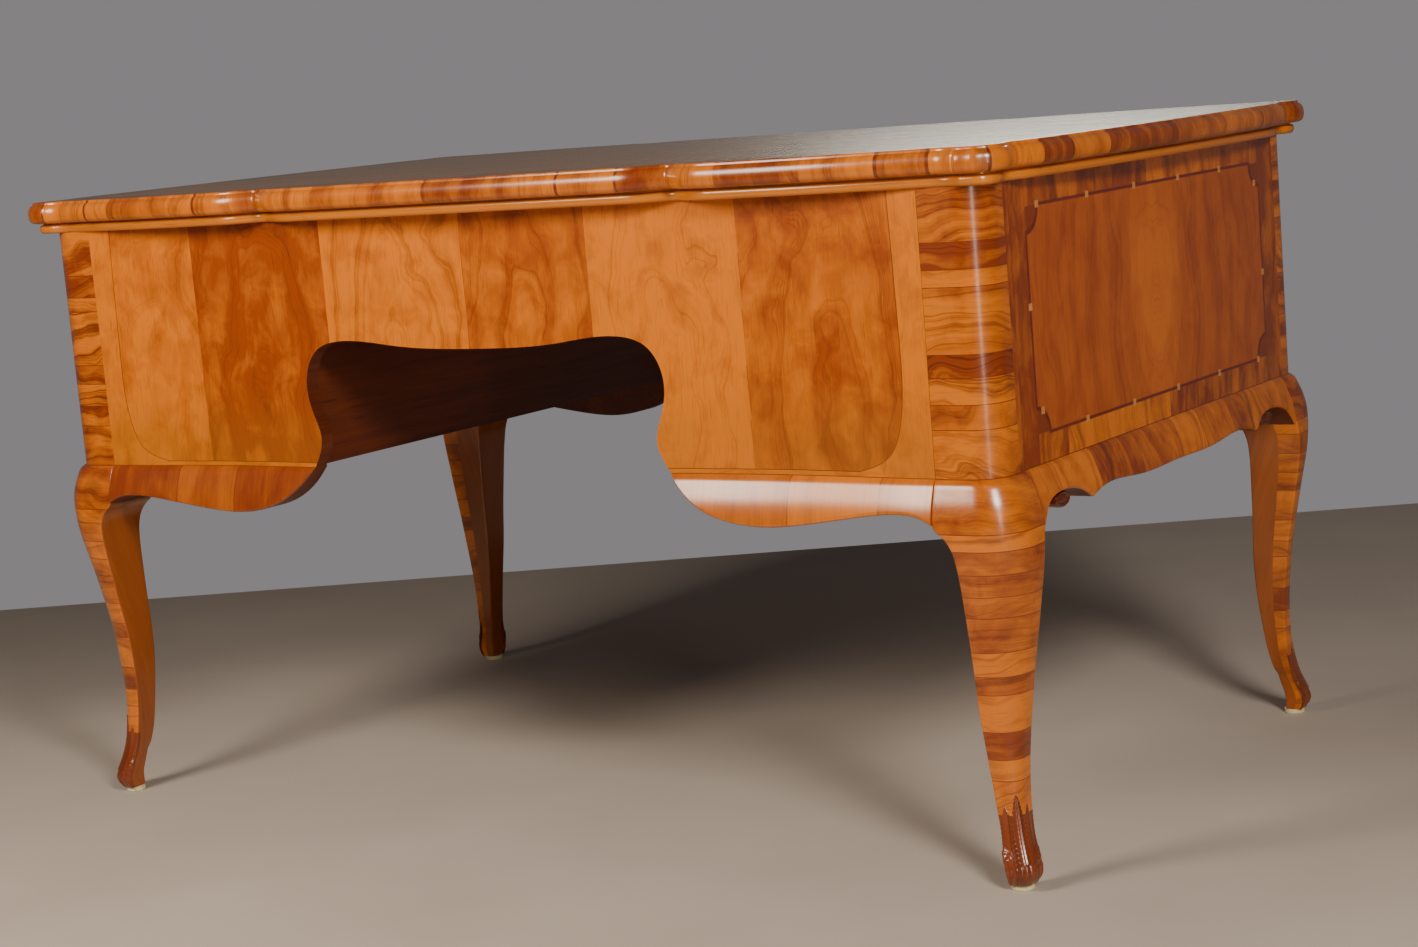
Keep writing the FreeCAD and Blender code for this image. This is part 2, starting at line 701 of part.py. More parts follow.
def drawer_box(x0, x1, z0, z1):
    """Two sides and the back, which stands on the bottom."""
    low, high = drawer_sides(x0, x1)
    z_low = z0 + RUN_CLEARANCE
    z_high = z1 - DRAWER_HEADROOM
    y_back = CASE_HALF_DEPTH - DRAWER_DEPTH
    bottom = drawer_bottom(x0, x1, z0)
    region = plan_region(PANEL_THICKNESS, z_low, z_high)
    pieces = []
    for start in (low, high - DRAWER_SIDE):
        board = box(start, start + DRAWER_SIDE, y_back, REACH, z_low, z_high)
        pieces.append(only_solid(board.common(region).cut(bottom)))
    on_bottom = z_low + DRAWER_BOTTOM_RAISE + DRAWER_BOTTOM
    inner = (low + DRAWER_SIDE, high - DRAWER_SIDE)
    pieces.append(box(inner[0], inner[1], y_back, y_back + DRAWER_BACK, on_bottom, z_high))
    return Part.makeCompound(pieces)


def keyhole(x, y, z):
    """A round hole over a slot, as a solid to cut away."""
    start = V(x, y - PANEL_THICKNESS + LOCK_THICKNESS, z)
    hole = Part.makeCylinder(KEYHOLE_RADIUS, OVERRUN, start, Y_AXIS)
    half = KEYHOLE_SLOT_WIDTH / 2
    slot = box(x - half, x + half, start.y, start.y + OVERRUN, z - KEYHOLE_SLOT, z)
    return hole.fuse(slot)


def lock(x, z1, play=0.0):
    """Lock case, flush with the back of the drawer front, or the pocket it sits in."""
    z_high = z1 - LOCK_BELOW_TOP + play
    z_low = z1 - LOCK_BELOW_TOP - LOCK_HEIGHT - play
    outer = PANEL_THICKNESS - LOCK_THICKNESS - play
    half = LOCK_WIDTH / 2 + play
    return curved_board(x - half, x + half, z_low, z_high, outer, PANEL_THICKNESS)


def keyhole_place(x, z1):
    return V(x, face_y(x), z1 - LOCK_BELOW_TOP - LOCK_HEIGHT / 2)


def escutcheon(x, z1):
    """Oval plate round the keyhole, seated on the curved front."""
    place = keyhole_place(x, z1)
    start = V(place.x, place.y - FITTING_ROOT, place.z)
    ellipse = Part.Ellipse(
        start + V(0, 0, ESCUTCHEON_HALF_HEIGHT), start + V(ESCUTCHEON_HALF_WIDTH, 0, 0), start
    )
    thick = FITTING_ROOT + ESCUTCHEON_THICKNESS
    plate = Part.Face(Part.Wire([ellipse.toShape()])).extrude(V(0, thick, 0))
    return plate.cut(keyhole(place.x, place.y, place.z))


def handle_place(x, z0, z1):
    """Middle of the axis on which a drawer's handle swings."""
    return V(x, face_y(x) + HANDLE_STANDOFF, z0 + HANDLE_HEIGHT_SHARE * (z1 - z0))


def handle_post(axis, side):
    """Rosette, stem and bored head that hold one end of the handle."""
    centre = axis + V(side * HANDLE_HALF_SPAN, 0, 0)
    face = face_y(centre.x)
    root = V(centre.x, face - FITTING_ROOT, centre.z)
    rosette = Part.makeCylinder(ROSETTE_RADIUS, FITTING_ROOT + ROSETTE_THICKNESS, root, Y_AXIS)
    rim = [edge for edge in rosette.Edges if edge.BoundBox.YMin > face]
    rosette = rosette.makeChamfer(ROSETTE_THICKNESS / 2, rim)
    stem = Part.makeCylinder(POST_STEM_RADIUS, centre.y - root.y, root, Y_AXIS)
    head = Part.makeSphere(POST_HEAD_RADIUS, centre)
    bore_start = centre - V(OVERRUN, 0, 0)
    bore = Part.makeCylinder(HANDLE_ROD_RADIUS + PIN_CLEARANCE, 2 * OVERRUN, bore_start, X_AXIS)
    return rosette.fuse(stem).fuse(head).cut(bore)


def drawer_fittings(x0, x1, z0, z1):
    """Brass parts fixed to a drawer: two handle posts, the escutcheon and the lock."""
    x = (x0 + x1) / 2
    wood = plan_region(-FITTING_PLAY, z0, z1)
    axis = handle_place(x, z0, z1)
    pieces = [handle_post(axis, side).cut(wood) for side in (LEFT, RIGHT)]
    pieces.append(escutcheon(x, z1).cut(wood))
    pieces.append(lock(x, z1))
    return Part.makeCompound([only_solid(piece) for piece in pieces])


def drawer_handle(x0, x1, z0, z1):
    """Swinging bail: a rod bent to a shallow loop, its ends turned in as pins."""
    axis = handle_place((x0 + x1) / 2, z0, z1)
    start = HANDLE_HALF_SPAN - PIN_DEPTH
    wide = HANDLE_HALF_SPAN + HANDLE_FLARE
    elbow = HANDLE_ELBOW_RADIUS
    bend = HANDLE_BEND_RADIUS
    low = -HANDLE_DROP
    in_elbow = elbow * math.sqrt(0.5)
    in_bend = bend * math.sqrt(0.5)
    half = [
        Part.LineSegment(V(start, 0, 0), V(wide - elbow, 0, 0)),
        Part.Arc(
            V(wide - elbow, 0, 0),
            V(wide - elbow + in_elbow, 0, in_elbow - elbow),
            V(wide, 0, -elbow),
        ),
        Part.LineSegment(V(wide, 0, -elbow), V(wide, 0, low + bend)),
        Part.Arc(
            V(wide, 0, low + bend),
            V(wide - bend + in_bend, 0, low + bend - in_bend),
            V(wide - bend, 0, low),
        ),
        Part.LineSegment(V(wide - bend, 0, low), V(0, 0, low)),
    ]
    path = Part.Wire([curve.toShape() for curve in half])
    ring = Part.Wire([Part.Circle(V(start, 0, 0), X_AXIS, HANDLE_ROD_RADIUS).toShape()])
    rod = path.makePipeShell([ring], True, False)
    whole = rod.fuse(mirrored(rod, X_AXIS)).removeSplitter()
    return only_solid(whole).translated(axis)


def drawer_front(x0, x1, z0, z1):
    """Serpentine drawer front, let in flush with the frame round it."""
    board = curved_board(x0 + DRAWER_GAP, x1 - DRAWER_GAP, z0 + DRAWER_GAP, z1 - DRAWER_GAP)
    x = (x0 + x1) / 2
    place = keyhole_place(x, z1)
    board = board.cut(drawer_bottom(x0, x1, z0)).cut(lock(x, z1, FITTING_PLAY))
    return only_solid(board.cut(keyhole(place.x, place.y, place.z)))


DRAWERS = [("centre", -STILE_INNER, STILE_INNER, CENTRE_FLOOR, OPENING_TOP)]
for side_name, side_sign in SIDES:
    DRAWERS.append((side_name + "_upper",) + drawer_opening(side_sign, UPPER_FLOOR, OPENING_TOP))
    DRAWERS.append((side_name + "_lower",) + drawer_opening(side_sign, SILL_TOP, LOWER_CEILING))


def main():
    os.makedirs("parts", exist_ok=True)
    nodes = {}
    front_leg = leg()
    side_rail_left = side_rail()
    bottom_rail = front_bottom_rail()
    back_rail = back_bottom_rail()
    band = moulding_band()
    for name, side in SIDES:
        nodes["leg_front_" + name] = for_side(front_leg, side)
        nodes["leg_back_" + name] = for_side(mirrored(front_leg, Y_AXIS), side)
        nodes["front_bottom_rail_" + name] = for_side(bottom_rail, side)
        nodes["back_bottom_rail_" + name] = for_side(back_rail, side)
        nodes["side_rail_" + name] = for_side(side_rail_left, side)
        nodes["side_panel_" + name] = for_side(side_panel(), side)
        nodes["inner_wall_" + name] = for_side(inner_wall(), side)
        nodes["pedestal_bottom_" + name] = for_side(pedestal_bottom(), side)
        nodes["front_stile_" + name] = for_side(front_stile(), side)
        nodes["drawer_divider_" + name] = for_side(drawer_divider(), side)
        nodes["top_moulding_" + name] = for_side(moulding_strip(band, False), side)
    nodes["back_panel"] = back_panel()
    nodes["front_apron"] = front_apron()
    nodes["front_top_rail"] = front_top_rail()
    nodes["kneehole_ceiling"] = kneehole_ceiling()
    nodes["drawer_runners"] = drawer_runners()
    nodes["drawer_guides"] = drawer_guides()
    nodes["drawer_kickers"] = drawer_kickers()
    nodes["drawer_stops"] = drawer_stops()
    nodes["glue_blocks"] = glue_blocks()
    nodes["top_moulding_front"] = moulding_strip(band, True)
    nodes["top_moulding_back"] = mirrored(nodes["top_moulding_front"], Y_AXIS)
    nodes["top_board"] = top_board()
    nodes["glides"] = glides()
    for name, x0, x1, z0, z1 in DRAWERS:
        nodes["drawer_" + name + "_front"] = drawer_front(x0, x1, z0, z1)
        nodes["drawer_" + name + "_box"] = drawer_box(x0, x1, z0, z1)
        nodes["drawer_" + name + "_bottom"] = drawer_bottom(x0, x1, z0)
        nodes["drawer_" + name + "_fittings"] = drawer_fittings(x0, x1, z0, z1)
        nodes["drawer_" + name + "_handle"] = drawer_handle(x0, x1, z0, z1)
        print("handle axis of", name, handle_place((x0 + x1) / 2, z0, z1))
    for name, shape in nodes.items():
        shape.exportStep("parts/" + name + ".step")
    print(len(nodes), "nodes")


main()
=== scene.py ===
import math
from collections import namedtuple
from functools import lru_cache

import bmesh
import bpy
import numpy as np
from mathutils import Matrix, Vector
from mathutils.geometry import delaunay_2d_cdt


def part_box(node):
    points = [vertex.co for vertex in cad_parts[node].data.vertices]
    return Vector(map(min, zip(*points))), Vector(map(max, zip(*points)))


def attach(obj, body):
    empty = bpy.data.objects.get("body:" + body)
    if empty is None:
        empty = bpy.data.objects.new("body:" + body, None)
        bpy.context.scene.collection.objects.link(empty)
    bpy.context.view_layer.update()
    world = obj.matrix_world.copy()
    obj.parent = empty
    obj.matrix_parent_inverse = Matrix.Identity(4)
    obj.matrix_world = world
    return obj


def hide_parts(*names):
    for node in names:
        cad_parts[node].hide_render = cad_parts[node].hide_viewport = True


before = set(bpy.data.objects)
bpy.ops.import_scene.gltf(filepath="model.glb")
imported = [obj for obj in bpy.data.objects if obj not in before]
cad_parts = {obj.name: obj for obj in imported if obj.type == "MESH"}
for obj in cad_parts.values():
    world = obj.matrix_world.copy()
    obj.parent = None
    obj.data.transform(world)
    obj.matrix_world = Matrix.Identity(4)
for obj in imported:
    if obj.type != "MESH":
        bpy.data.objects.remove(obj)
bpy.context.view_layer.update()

# The looks of a veneered walnut kneehole desk. Metres, in the frame of the CAD model:
# the drawers open towards +Y, the closed long side faces -Y, and left is +X.

bl_info = {
    "name": "Walnut kneehole desk",
    "version": (1, 0, 0),
    "blender": (4, 5, 0),
    "location": "3D View > Sidebar > Desk",
    "description": "Builds the veneered surfaces, carved feet and brasses of a kneehole desk",
    "category": "Object",
}

MM = 0.001
BODY = "case"
ENDS = (("left", 1), ("right", -1))
CORNERS = [(name, end, side_name, side)
           for name, end in ENDS for side_name, side in (("front", 1), ("back", -1))]
DRAWERS = ("centre", "left_upper", "left_lower", "right_upper", "right_lower")
DRAWER_GAP = 0.0012

# Serpentine of a long face: share of its half length, and how far back, as a share of the swell.
FACE_CURVE_SHARES = ((0.0, 1.0), (0.36, 0.5), (0.63, 0.88), (0.87, 0.34), (1.0, 0.0))
# Arch from its middle: shares of the kneehole's half width and of the rise above the case.
ARCH_SHARES = (
    (0.0, 0.92), (0.46, 0.955), (0.77, 1.0), (0.93, 0.92),
    (1.0, 0.71), (0.985, 0.455), (0.946, 0.227), (0.98, 0.065),
)
# Lower edges of the rails: share of the way from the kneehole to the leg, or from the middle
# of a short side to its post, and share of the rail's drop.
LONG_RAIL_SHARES = (
    (0.056, 0.36), (0.145, 0.73), (0.25, 0.93), (0.368, 1.0), (0.50, 0.945),
    (0.71, 0.76), (0.866, 0.66), (0.955, 0.72), (1.0, 0.84),
)
SIDE_RAIL_SHARES = ((0.0, 0.98), (0.30, 0.98), (0.58, 0.93), (0.655, 1.06))
SIDE_SCROLL_SHARES = (
    (0.655, 1.06), (0.70, 0.84), (0.78, 0.69), (0.87, 0.69), (0.955, 0.90), (1.0, 1.30),
)
# Swell of the rails: share of the long rail's drop, and of the bulge.
RAIL_BULGE_SHARES = (
    (0.0, 0.0), (0.06, 0.22), (0.20, 0.42), (0.45, 0.68), (0.73, 0.88), (1.20, 1.0), (1.45, 1.0),
)
# Outer faces of a leg: shares of its height, of the bulge and of the corner's rounding.
LEG_OUTER_SHARES = (
    (1.0, 0.0, 0.70), (0.9925, 0.22, 0.705), (0.975, 0.42, 0.72), (0.944, 0.68, 0.78),
    (0.909, 0.88, 0.85), (0.850, 1.0, 0.95), (0.784, 0.94, 1.0), (0.705, 0.66, 0.98),
    (0.605, 0.27, 0.90), (0.523, -0.07, 0.76), (0.443, -0.32, 0.62), (0.350, -0.55, 0.46),
    (0.261, -0.65, 0.34), (0.182, -0.60, 0.26), (0.125, -0.42, 0.22), (0.072, -0.05, 0.24),
    (0.040, 0.08, 0.24), (0.0136, -0.18, 0.20),
)
# Inner faces of a leg: shares of its height, and of the post's length and depth.
LEG_INNER_SHARES = (
    (0.895, 1.0, 1.0), (0.868, 0.86, 0.985), (0.834, 0.72, 0.93), (0.780, 0.665, 0.895),
    (0.700, 0.655, 0.90), (0.600, 0.655, 0.92), (0.500, 0.67, 0.935), (0.432, 0.67, 0.93),
    (0.350, 0.64, 0.91), (0.255, 0.58, 0.87), (0.182, 0.515, 0.82), (0.125, 0.445, 0.73),
    (0.085, 0.395, 0.67), (0.045, 0.35, 0.63),
)
# Corners of a quarter of the top, from the middle of the front: shares of its half length
# and half depth, and how much of the shorter run beside it a corner's rounding takes.
TOP_OUTLINE_SHARES = (
    (0.0, 1.0, 0.48), (0.366, 0.991, 0.45), (0.419, 0.944, 0.08), (0.469, 0.991, 0.45),
    (0.670, 0.996, 0.45), (0.888, 0.953, 0.45), (0.909, 0.969, 0.42), (0.976, 0.966, 0.64),
    (0.976, 0.861, 0.42), (0.964, 0.825, 0.45), (0.983, 0.740, 0.45), (1.0, 0.0, 0.48),
)

# Veneer sheets of a long face, from the right end to the left: where each sheet starts
# along the face, and how dark it is, from 0 to 1.
FACE_SHEETS = (
    (-0.598, 0.30), (-0.434, 0.95), (-0.218, 0.14), (-0.010, 0.62), (0.172, 0.06), (0.370, 0.66),
)
FACE_SHEETS_END = 0.598

# The seam that frames the sheets of a long face, as x and z, from its top to its middle.
FACE_SEAM = ((0.562, 0.746), (0.566, 0.58), (0.561, 0.50), (0.545, 0.464), (0.505, 0.4465))

# Lower limits and tones of the cross-banded pieces of the corner next to the camera, from
# the case's upper edge down the leg. The other corners have the same joints, other tones.
CORNER_PIECES = (
    (0.684, 0.50), (0.656, 0.95), (0.638, 0.35), (0.569, 0.22), (0.545, 0.90), (0.517, 0.30),
    (0.491, 0.62), (0.440, 0.20), (0.385, 0.55), (0.367, 0.20), (0.342, 0.72), (0.318, 0.55),
    (0.295, 0.50), (0.257, 0.55), (0.230, 0.08), (0.210, 0.68), (0.169, 0.06), (0.139, 0.85),
    (0.116, 0.22), (0.006, 0.15),
)

# Joints of a side rail from back to front, each with the tone of the piece after it.
SIDE_RAIL_PIECES = (
    (-0.296, 0.15), (-0.205, 0.75), (-0.190, 0.80), (-0.095, 0.55), (0.010, 0.15),
    (0.080, 0.35), (0.165, 0.75), (0.215, 0.40), (0.290, 0.30),
)

# Joints and tones of the borders over and under a side field, from the back to the front.
UPPER_BORDER = ((-0.185, 0.62), (-0.010, 0.85), (0.035, 0.10), (0.150, 0.45), (0.351, 0.60))
LOWER_BORDER = ((-0.245, 0.70), (0.020, 0.05), (0.042, 0.80), (0.140, 0.92), (0.351, 0.60))

# A leaf of the carved feet: its foot and its tip, each as distance round the corner and
# height, then its half width and how far it stands out. Millimetres.
Leaf = namedtuple("Leaf", "foot tip width height")
FOOT_LEAVES = (
    Leaf((0.0, 30.0), (1.0, 103.0), 8.5, 2.1),
    Leaf((-13.0, 28.0), (-14.0, 89.0), 8.5, 1.8),
    Leaf((13.0, 28.0), (14.0, 89.0), 8.5, 1.8),
    Leaf((-27.0, 24.0), (-30.0, 87.0), 8.5, 1.4),
    Leaf((27.0, 24.0), (30.0, 87.0), 8.5, 1.4),
)


# Sizes and colours

def length(name, default, description):
    return bpy.props.FloatProperty(
        name=name, description=description, default=default, unit="LENGTH", subtype="DISTANCE")


def tint(name, default, description):
    return bpy.props.StringProperty(name=name, description=description, default=default)


class DeskSizes(bpy.types.PropertyGroup):
    """Sizes of the desk that the pieces are built from."""

    total_height: length("Total height", 0.780, "Floor to the top surface")
    top_thickness: length("Top thickness", 0.027, "Thickness of the top board")
    moulding_height: length("Moulding height", 0.013, "Height of the strips under the top")
    case_height: length("Case height", 0.300, "Height of the veneered case")
    half_length: length("Half length", 0.671, "Middle of the case to its short side")
    half_depth: length("Half depth", 0.411, "Middle of the case to its long side")
    top_half_length: length("Top half length", 0.716, "Middle of the top to its short edge")
    top_half_depth: length("Top half depth", 0.447, "Middle of the top to its long edge")
    post_length: length("Post length", 0.073, "Width of a corner post on the long side")
    post_depth: length("Post depth", 0.060, "Width of a corner post on the short side")
    knee_bulge: length("Knee bulge", 0.020, "How far knees and rails swell out")
    knee_radius: length("Knee radius", 0.050, "Rounding of a knee's outer corner")
    face_swell: length("Face swell", 0.013, "Depth of the serpentine of the long faces")
    panel: length("Panel thickness", 0.020, "Thickness of the long faces")
    rail: length("Rail thickness", 0.030, "Thickness of the swelling rails")
    kneehole: length("Kneehole half width", 0.261, "Half the width of the arched opening")
    arch_rise: length("Arch rise", 0.1539, "Height of the arch above the case's lower edge")
    long_drop: length("Long rail drop", 0.055, "Depth of the lobed rails")
    side_drop: length("Side rail drop", 0.046, "Depth of the side rails")


class DeskColours(bpy.types.PropertyGroup):
    """Colours of the finishes, as the eye sees them."""

    honey: tint("Light veneer", "#DE7C04", "Light sheets of the long faces")
    russet: tint("Dark veneer", "#9C4404", "Dark sheets of the long faces")
    streak: tint("Heartwood streaks", "#4C1805", "Darkest lines in the walnut")
    band_light: tint("Light cross-banding", "#D8780F", "Light pieces of the borders")
    band_dark: tint("Dark cross-banding", "#863608", "Dark pieces of the borders")
    side_light: tint("Light side veneer", "#D07018", "Light parts of the short sides")
    chestnut: tint("Side veneer", "#943C0A", "Dark parts of the short sides")
    foot: tint("Carved feet", "#8E3E1A", "Stained carving of the feet")
    moulding: tint("Moulding", "#DC8420", "Light strips under the top")
    brass: tint("Brass", "#C9A053", "Aged cast brass")
    glide: tint("Glides", "#E1D7A5", "Nylon discs under the feet")


def sizes():
    return bpy.context.scene.desk_sizes


def colours():
    return bpy.context.scene.desk_colours


def case_top():
    size = sizes()
    return size.total_height - size.top_thickness - size.moulding_height


def case_bottom():
    return case_top() - sizes().case_height


def face_half():
    return sizes().half_length - sizes().post_length


def side_half():
    return sizes().half_depth - sizes().post_depth


# Curves

def smooth_curve(points, count, ends=None):
    """Points along the cubic spline through the given ones; ends are its end tangents."""
    given = np.array(points, float)
    lengths = np.linalg.norm(np.diff(given, axis=0), axis=1)
    place = np.concatenate([[0.0], np.cumsum(lengths)])
    last = len(given) - 1
    slopes = np.diff(given, axis=0) / lengths[:, None]
    system = np.zeros((last + 1, last + 1))
    right = np.zeros(given.shape)
    for i in range(1, last):
        before, after = lengths[i - 1], lengths[i]
        system[i, i - 1:i + 2] = before, 2.0 * (before + after), after
        right[i] = 6.0 * (slopes[i] - slopes[i - 1])
    if ends is None:
        system[0, 0] = 1.0
        system[last, last] = 1.0
    else:
        system[0, :2] = 2.0 * lengths[0], lengths[0]
        right[0] = 6.0 * (slopes[0] - np.array(ends[0]))
        system[last, last - 1:] = lengths[-1], 2.0 * lengths[-1]
        right[last] = 6.0 * (np.array(ends[1]) - slopes[-1])
    bend = np.linalg.solve(system, right)
    wanted = np.linspace(0.0, place[-1], count)
    run = np.clip(np.searchsorted(place, wanted, side="right") - 1, 0, last - 1)
    span = lengths[run][:, None]
    t = (wanted - place[run])[:, None]
    slope = slopes[run] - span * (2.0 * bend[run] + bend[run + 1]) / 6.0
    cubic = (bend[run + 1] - bend[run]) / (6.0 * span)
    return given[run] + slope * t + bend[run] / 2.0 * t ** 2 + cubic * t ** 3


@lru_cache(maxsize=None)
def face_curve(half, swell):
    points = [(along * half, -back * swell) for along, back in FACE_CURVE_SHARES]
    return smooth_curve(points, 400, ((1.0, 0.0), (1.0, 0.0)))


def long_face(x):
    """Distance of the serpentine long face from the middle of the desk."""
    curve = face_curve(face_half(), sizes().face_swell)
    return sizes().half_depth + np.interp(abs(x), curve[:, 0], curve[:, 1])


@lru_cache(maxsize=None)
def long_edge(kneehole, rise, drop, half, bottom):
    """Lower edge of a long side, as x and z, from one leg over the arch to the other."""
    points = [(across * kneehole, bottom + up * rise) for across, up in ARCH_SHARES]
    run = half - kneehole
    points += [(kneehole + along * run, bottom - down * drop) for along, down in LONG_RAIL_SHARES]
    return smooth_curve([(-x, z) for x, z in reversed(points[1:])] + points, 900)


def lower_edge():
    size = sizes()
    return long_edge(size.kneehole, size.arch_rise, size.long_drop, face_half(), case_bottom())


def arch_edge():
    """The part of the lower edge that lies above the bottom of the case."""
    edge = lower_edge()
    arch = [tuple(point) for point in edge[edge[:, 1] > case_bottom()]]
    foot = abs(arch[0][0])
    return [(-foot, case_bottom())] + arch + [(foot, case_bottom())]


def below_case():
    """The lower edge of a long rail, from the kneehole to the leg."""
    edge = lower_edge()
    return edge[(edge[:, 1] < case_bottom()) & (edge[:, 0] > 0.0)]


def rail_low(x):
    """Height of the lower edge of a long rail."""
    below = below_case()
    return np.interp(x, below[:, 0], below[:, 1])


@lru_cache(maxsize=None)
def side_edges(half, drop, bottom):
    """Lower edge of a side rail: over its middle, and over the scroll at its end."""
    inner, scroll = (
        [(along * half, bottom - down * drop) for along, down in shares]
        for shares in (SIDE_RAIL_SHARES, SIDE_SCROLL_SHARES))
    other = [(-along, z) for along, z in reversed(inner[1:])]
    return smooth_curve(other + inner, 200), smooth_curve(scroll, 100)


def side_low(y):
    """Height of the lower edge of a side rail."""
    middle, end = side_edges(side_half(), sizes().side_drop, case_bottom())
    curve = middle if abs(y) < end[0, 0] else end
    return np.interp(abs(y), curve[:, 0], curve[:, 1])


@lru_cache(maxsize=None)
def bulge_curve(drop, bulge):
    return smooth_curve([(down * drop, out * bulge) for down, out in RAIL_BULGE_SHARES], 200)


def rail_bulge(z):
    """How far a rail stands out at a height below the case."""
    curve = bulge_curve(sizes().long_drop, sizes().knee_bulge)
    return np.interp(case_bottom() - z, curve[:, 0], curve[:, 1])


def corner_arc(before, here, after):
    """Where a rounded corner starts, the way in, the turn, and the radius."""
    run_in = np.array(here[:2]) - np.array(before[:2])
    run_out = np.array(after[:2]) - np.array(here[:2])
    length_in, length_out = np.linalg.norm(run_in), np.linalg.norm(run_out)
    reach = here[2] * min(length_in, length_out)
    way_in = run_in / length_in
    way_out = run_out / length_out
    turn = math.atan2(way_in[0] * way_out[1] - way_in[1] * way_out[0], float(way_in @ way_out))
    return np.array(here[:2]) - way_in * reach, way_in, turn, reach / math.tan(abs(turn) / 2.0)


def on_arc(arc, share):
    """A place on a rounded corner, and the outward normal there."""
    start, way_in, turn, radius = arc
    cos, sin = math.cos(turn * share), math.sin(turn * share)
    left_in = np.array([-way_in[1], way_in[0]])
    left = np.array([-way_in[0] * sin - way_in[1] * cos, way_in[0] * cos - way_in[1] * sin])
    return start + (left_in - left) * math.copysign(radius, turn), left


def rounded_outline(points, straight_step, arc_steps):
    """A closed outline with rounded corners: places and outward normals."""
    count = len(points)
    arcs = [corner_arc(points[i - 1], points[i], points[(i + 1) % count]) for i in range(count)]
    found = []
    for i in range(count):
        found += [on_arc(arcs[i], k / arc_steps) for k in range(arc_steps)]
        end, normal = on_arc(arcs[i], 1.0)
        run = arcs[(i + 1) % count][0] - end
        steps = max(1, int(np.linalg.norm(run) / straight_step))
        found += [(end + run * k / steps, normal) for k in range(steps)]
    return np.array([place for place, normal in found]), np.array([normal for place, normal in found])


def top_outline():
    """The lobed outline of the top, clockwise from the middle of the front."""
    size = sizes()
    quarter = [
        (x * size.top_half_length, y * size.top_half_depth, reach)
        for x, y, reach in TOP_OUTLINE_SHARES]
    left_half = quarter + [(x, -y, reach) for x, y, reach in reversed(quarter[:-1])]
    whole = left_half + [(-x, y, reach) for x, y, reach in reversed(left_half[1:-1])]
    return rounded_outline(whole, straight_step=0.004, arc_steps=12)


def widened(outline, distance):
    """A closed outline moved outwards."""
    points = np.array(outline, float)
    after = np.roll(points, -1, axis=0)
    ways = after - np.roll(points, 1, axis=0)
    ways /= np.linalg.norm(ways, axis=1)[:, None]
    area = (points[:, 0] * after[:, 1] - after[:, 0] * points[:, 1]).sum()
    outwards = np.stack([ways[:, 1], -ways[:, 0]], axis=1) * math.copysign(1.0, area)
    return [tuple(point) for point in points + outwards * distance]


def rectangle(x0, x1, z0, z1):
    return [(x0, z0), (x1, z0), (x1, z1), (x0, z1)]


def circle(count):
    """The cosine and sine of evenly spaced angles."""
    angles = [2.0 * math.pi * k / count for k in range(count)]
    return [(math.cos(angle), math.sin(angle)) for angle in angles]


def travelled(points):
    """How far each point lies along a line of points."""
    steps = [math.dist(a, b) for a, b in zip(points, points[1:])]
    return np.concatenate([[0.0], np.cumsum(steps)])


def fade(depth, span):
    """A share that rises from 0 to 1 as a depth grows over a span."""
    return float(np.clip(depth / span, 0.0, 1.0))


# Meshes

# Faces of one piece. Grain gives each face's corners their place on the veneer, looks each
# face's tone, seed and strength of figure, and slots each face's material.
Part = namedtuple("Part", "vertices faces grain looks slots")

# The dark line of old glue at a joint between two sheets: a tone above 1. Within a
# cross-banding the joints are closer, and the line fainter.
GLUE = (1.7, 0.5, 0.3)
FAINT_GLUE = (1.25, 0.5, 0.3)
GLUE_WIDTH = 0.0009

# The least and the greatest strength of figure in a cross-banding.
BAND_FIGURE = (0.35, 0.7)

# How far a plain skin's grain runs on from point to point, and from row to row.
PLAIN_STEPS = (0.0008, 0.004)

# Points closer than this are made one, and cuts through a board closer than this.
WELD_DISTANCE = 2e-6
CUT_DISTANCE = 1e-6


def placed(name, data):
    """A new object in the scene, made of the given data."""
    thing = bpy.data.objects.new(name, data)
    bpy.context.scene.collection.objects.link(thing)
    return thing


def new_piece(name, *parts):
    """One closed mesh object made of the given parts, with its veneer laid."""
    vertices, faces, grain, looks, slots = [], [], [], [], []
    for part in parts:
        start = len(vertices)
        vertices += [tuple(vertex) for vertex in part.vertices]
        faces += [[i + start for i in face] for face in part.faces]
        grain += [corner for corners in part.grain for corner in corners]
        looks += part.looks
        slots += part.slots
    mesh = bpy.data.meshes.new(name)
    mesh.from_pydata(vertices, [], faces)
    mesh.uv_layers.new(name="veneer").data.foreach_set("uv", np.array(grain, np.float32).ravel())
    face_values = np.ones((len(faces), 4), np.float32)
    face_values[:, :3] = np.array(looks, np.float32)
    sheet = mesh.attributes.new("sheet", "FLOAT_COLOR", "FACE")
    sheet.data.foreach_set("color", face_values.ravel())
    mesh.polygons.foreach_set("material_index", np.array(slots, np.int32))
    shape = bmesh.new()
    shape.from_mesh(mesh)
    bmesh.ops.remove_doubles(shape, verts=shape.verts[:], dist=WELD_DISTANCE)
    bmesh.ops.recalc_face_normals(shape, faces=shape.faces[:])
    shape.to_mesh(mesh)
    shape.free()
    return placed(name, mesh)


def dress(piece, materials, body=BODY, nodes=(), angle=30.0):
    """Gives a finished piece its shading, its materials and its place in the frame."""
    piece.data.shade_smooth()
    piece.data.set_sharp_from_angle(angle=math.radians(angle))
    for material in materials:
        piece.data.materials.append(material)
    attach(piece, body)
    if nodes:
        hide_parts(*nodes)


def repaint(node, material):
    """Gives a CAD node that keeps its shape a finished material."""
    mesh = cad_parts[node].data
    mesh.materials.clear()
    mesh.materials.append(material)


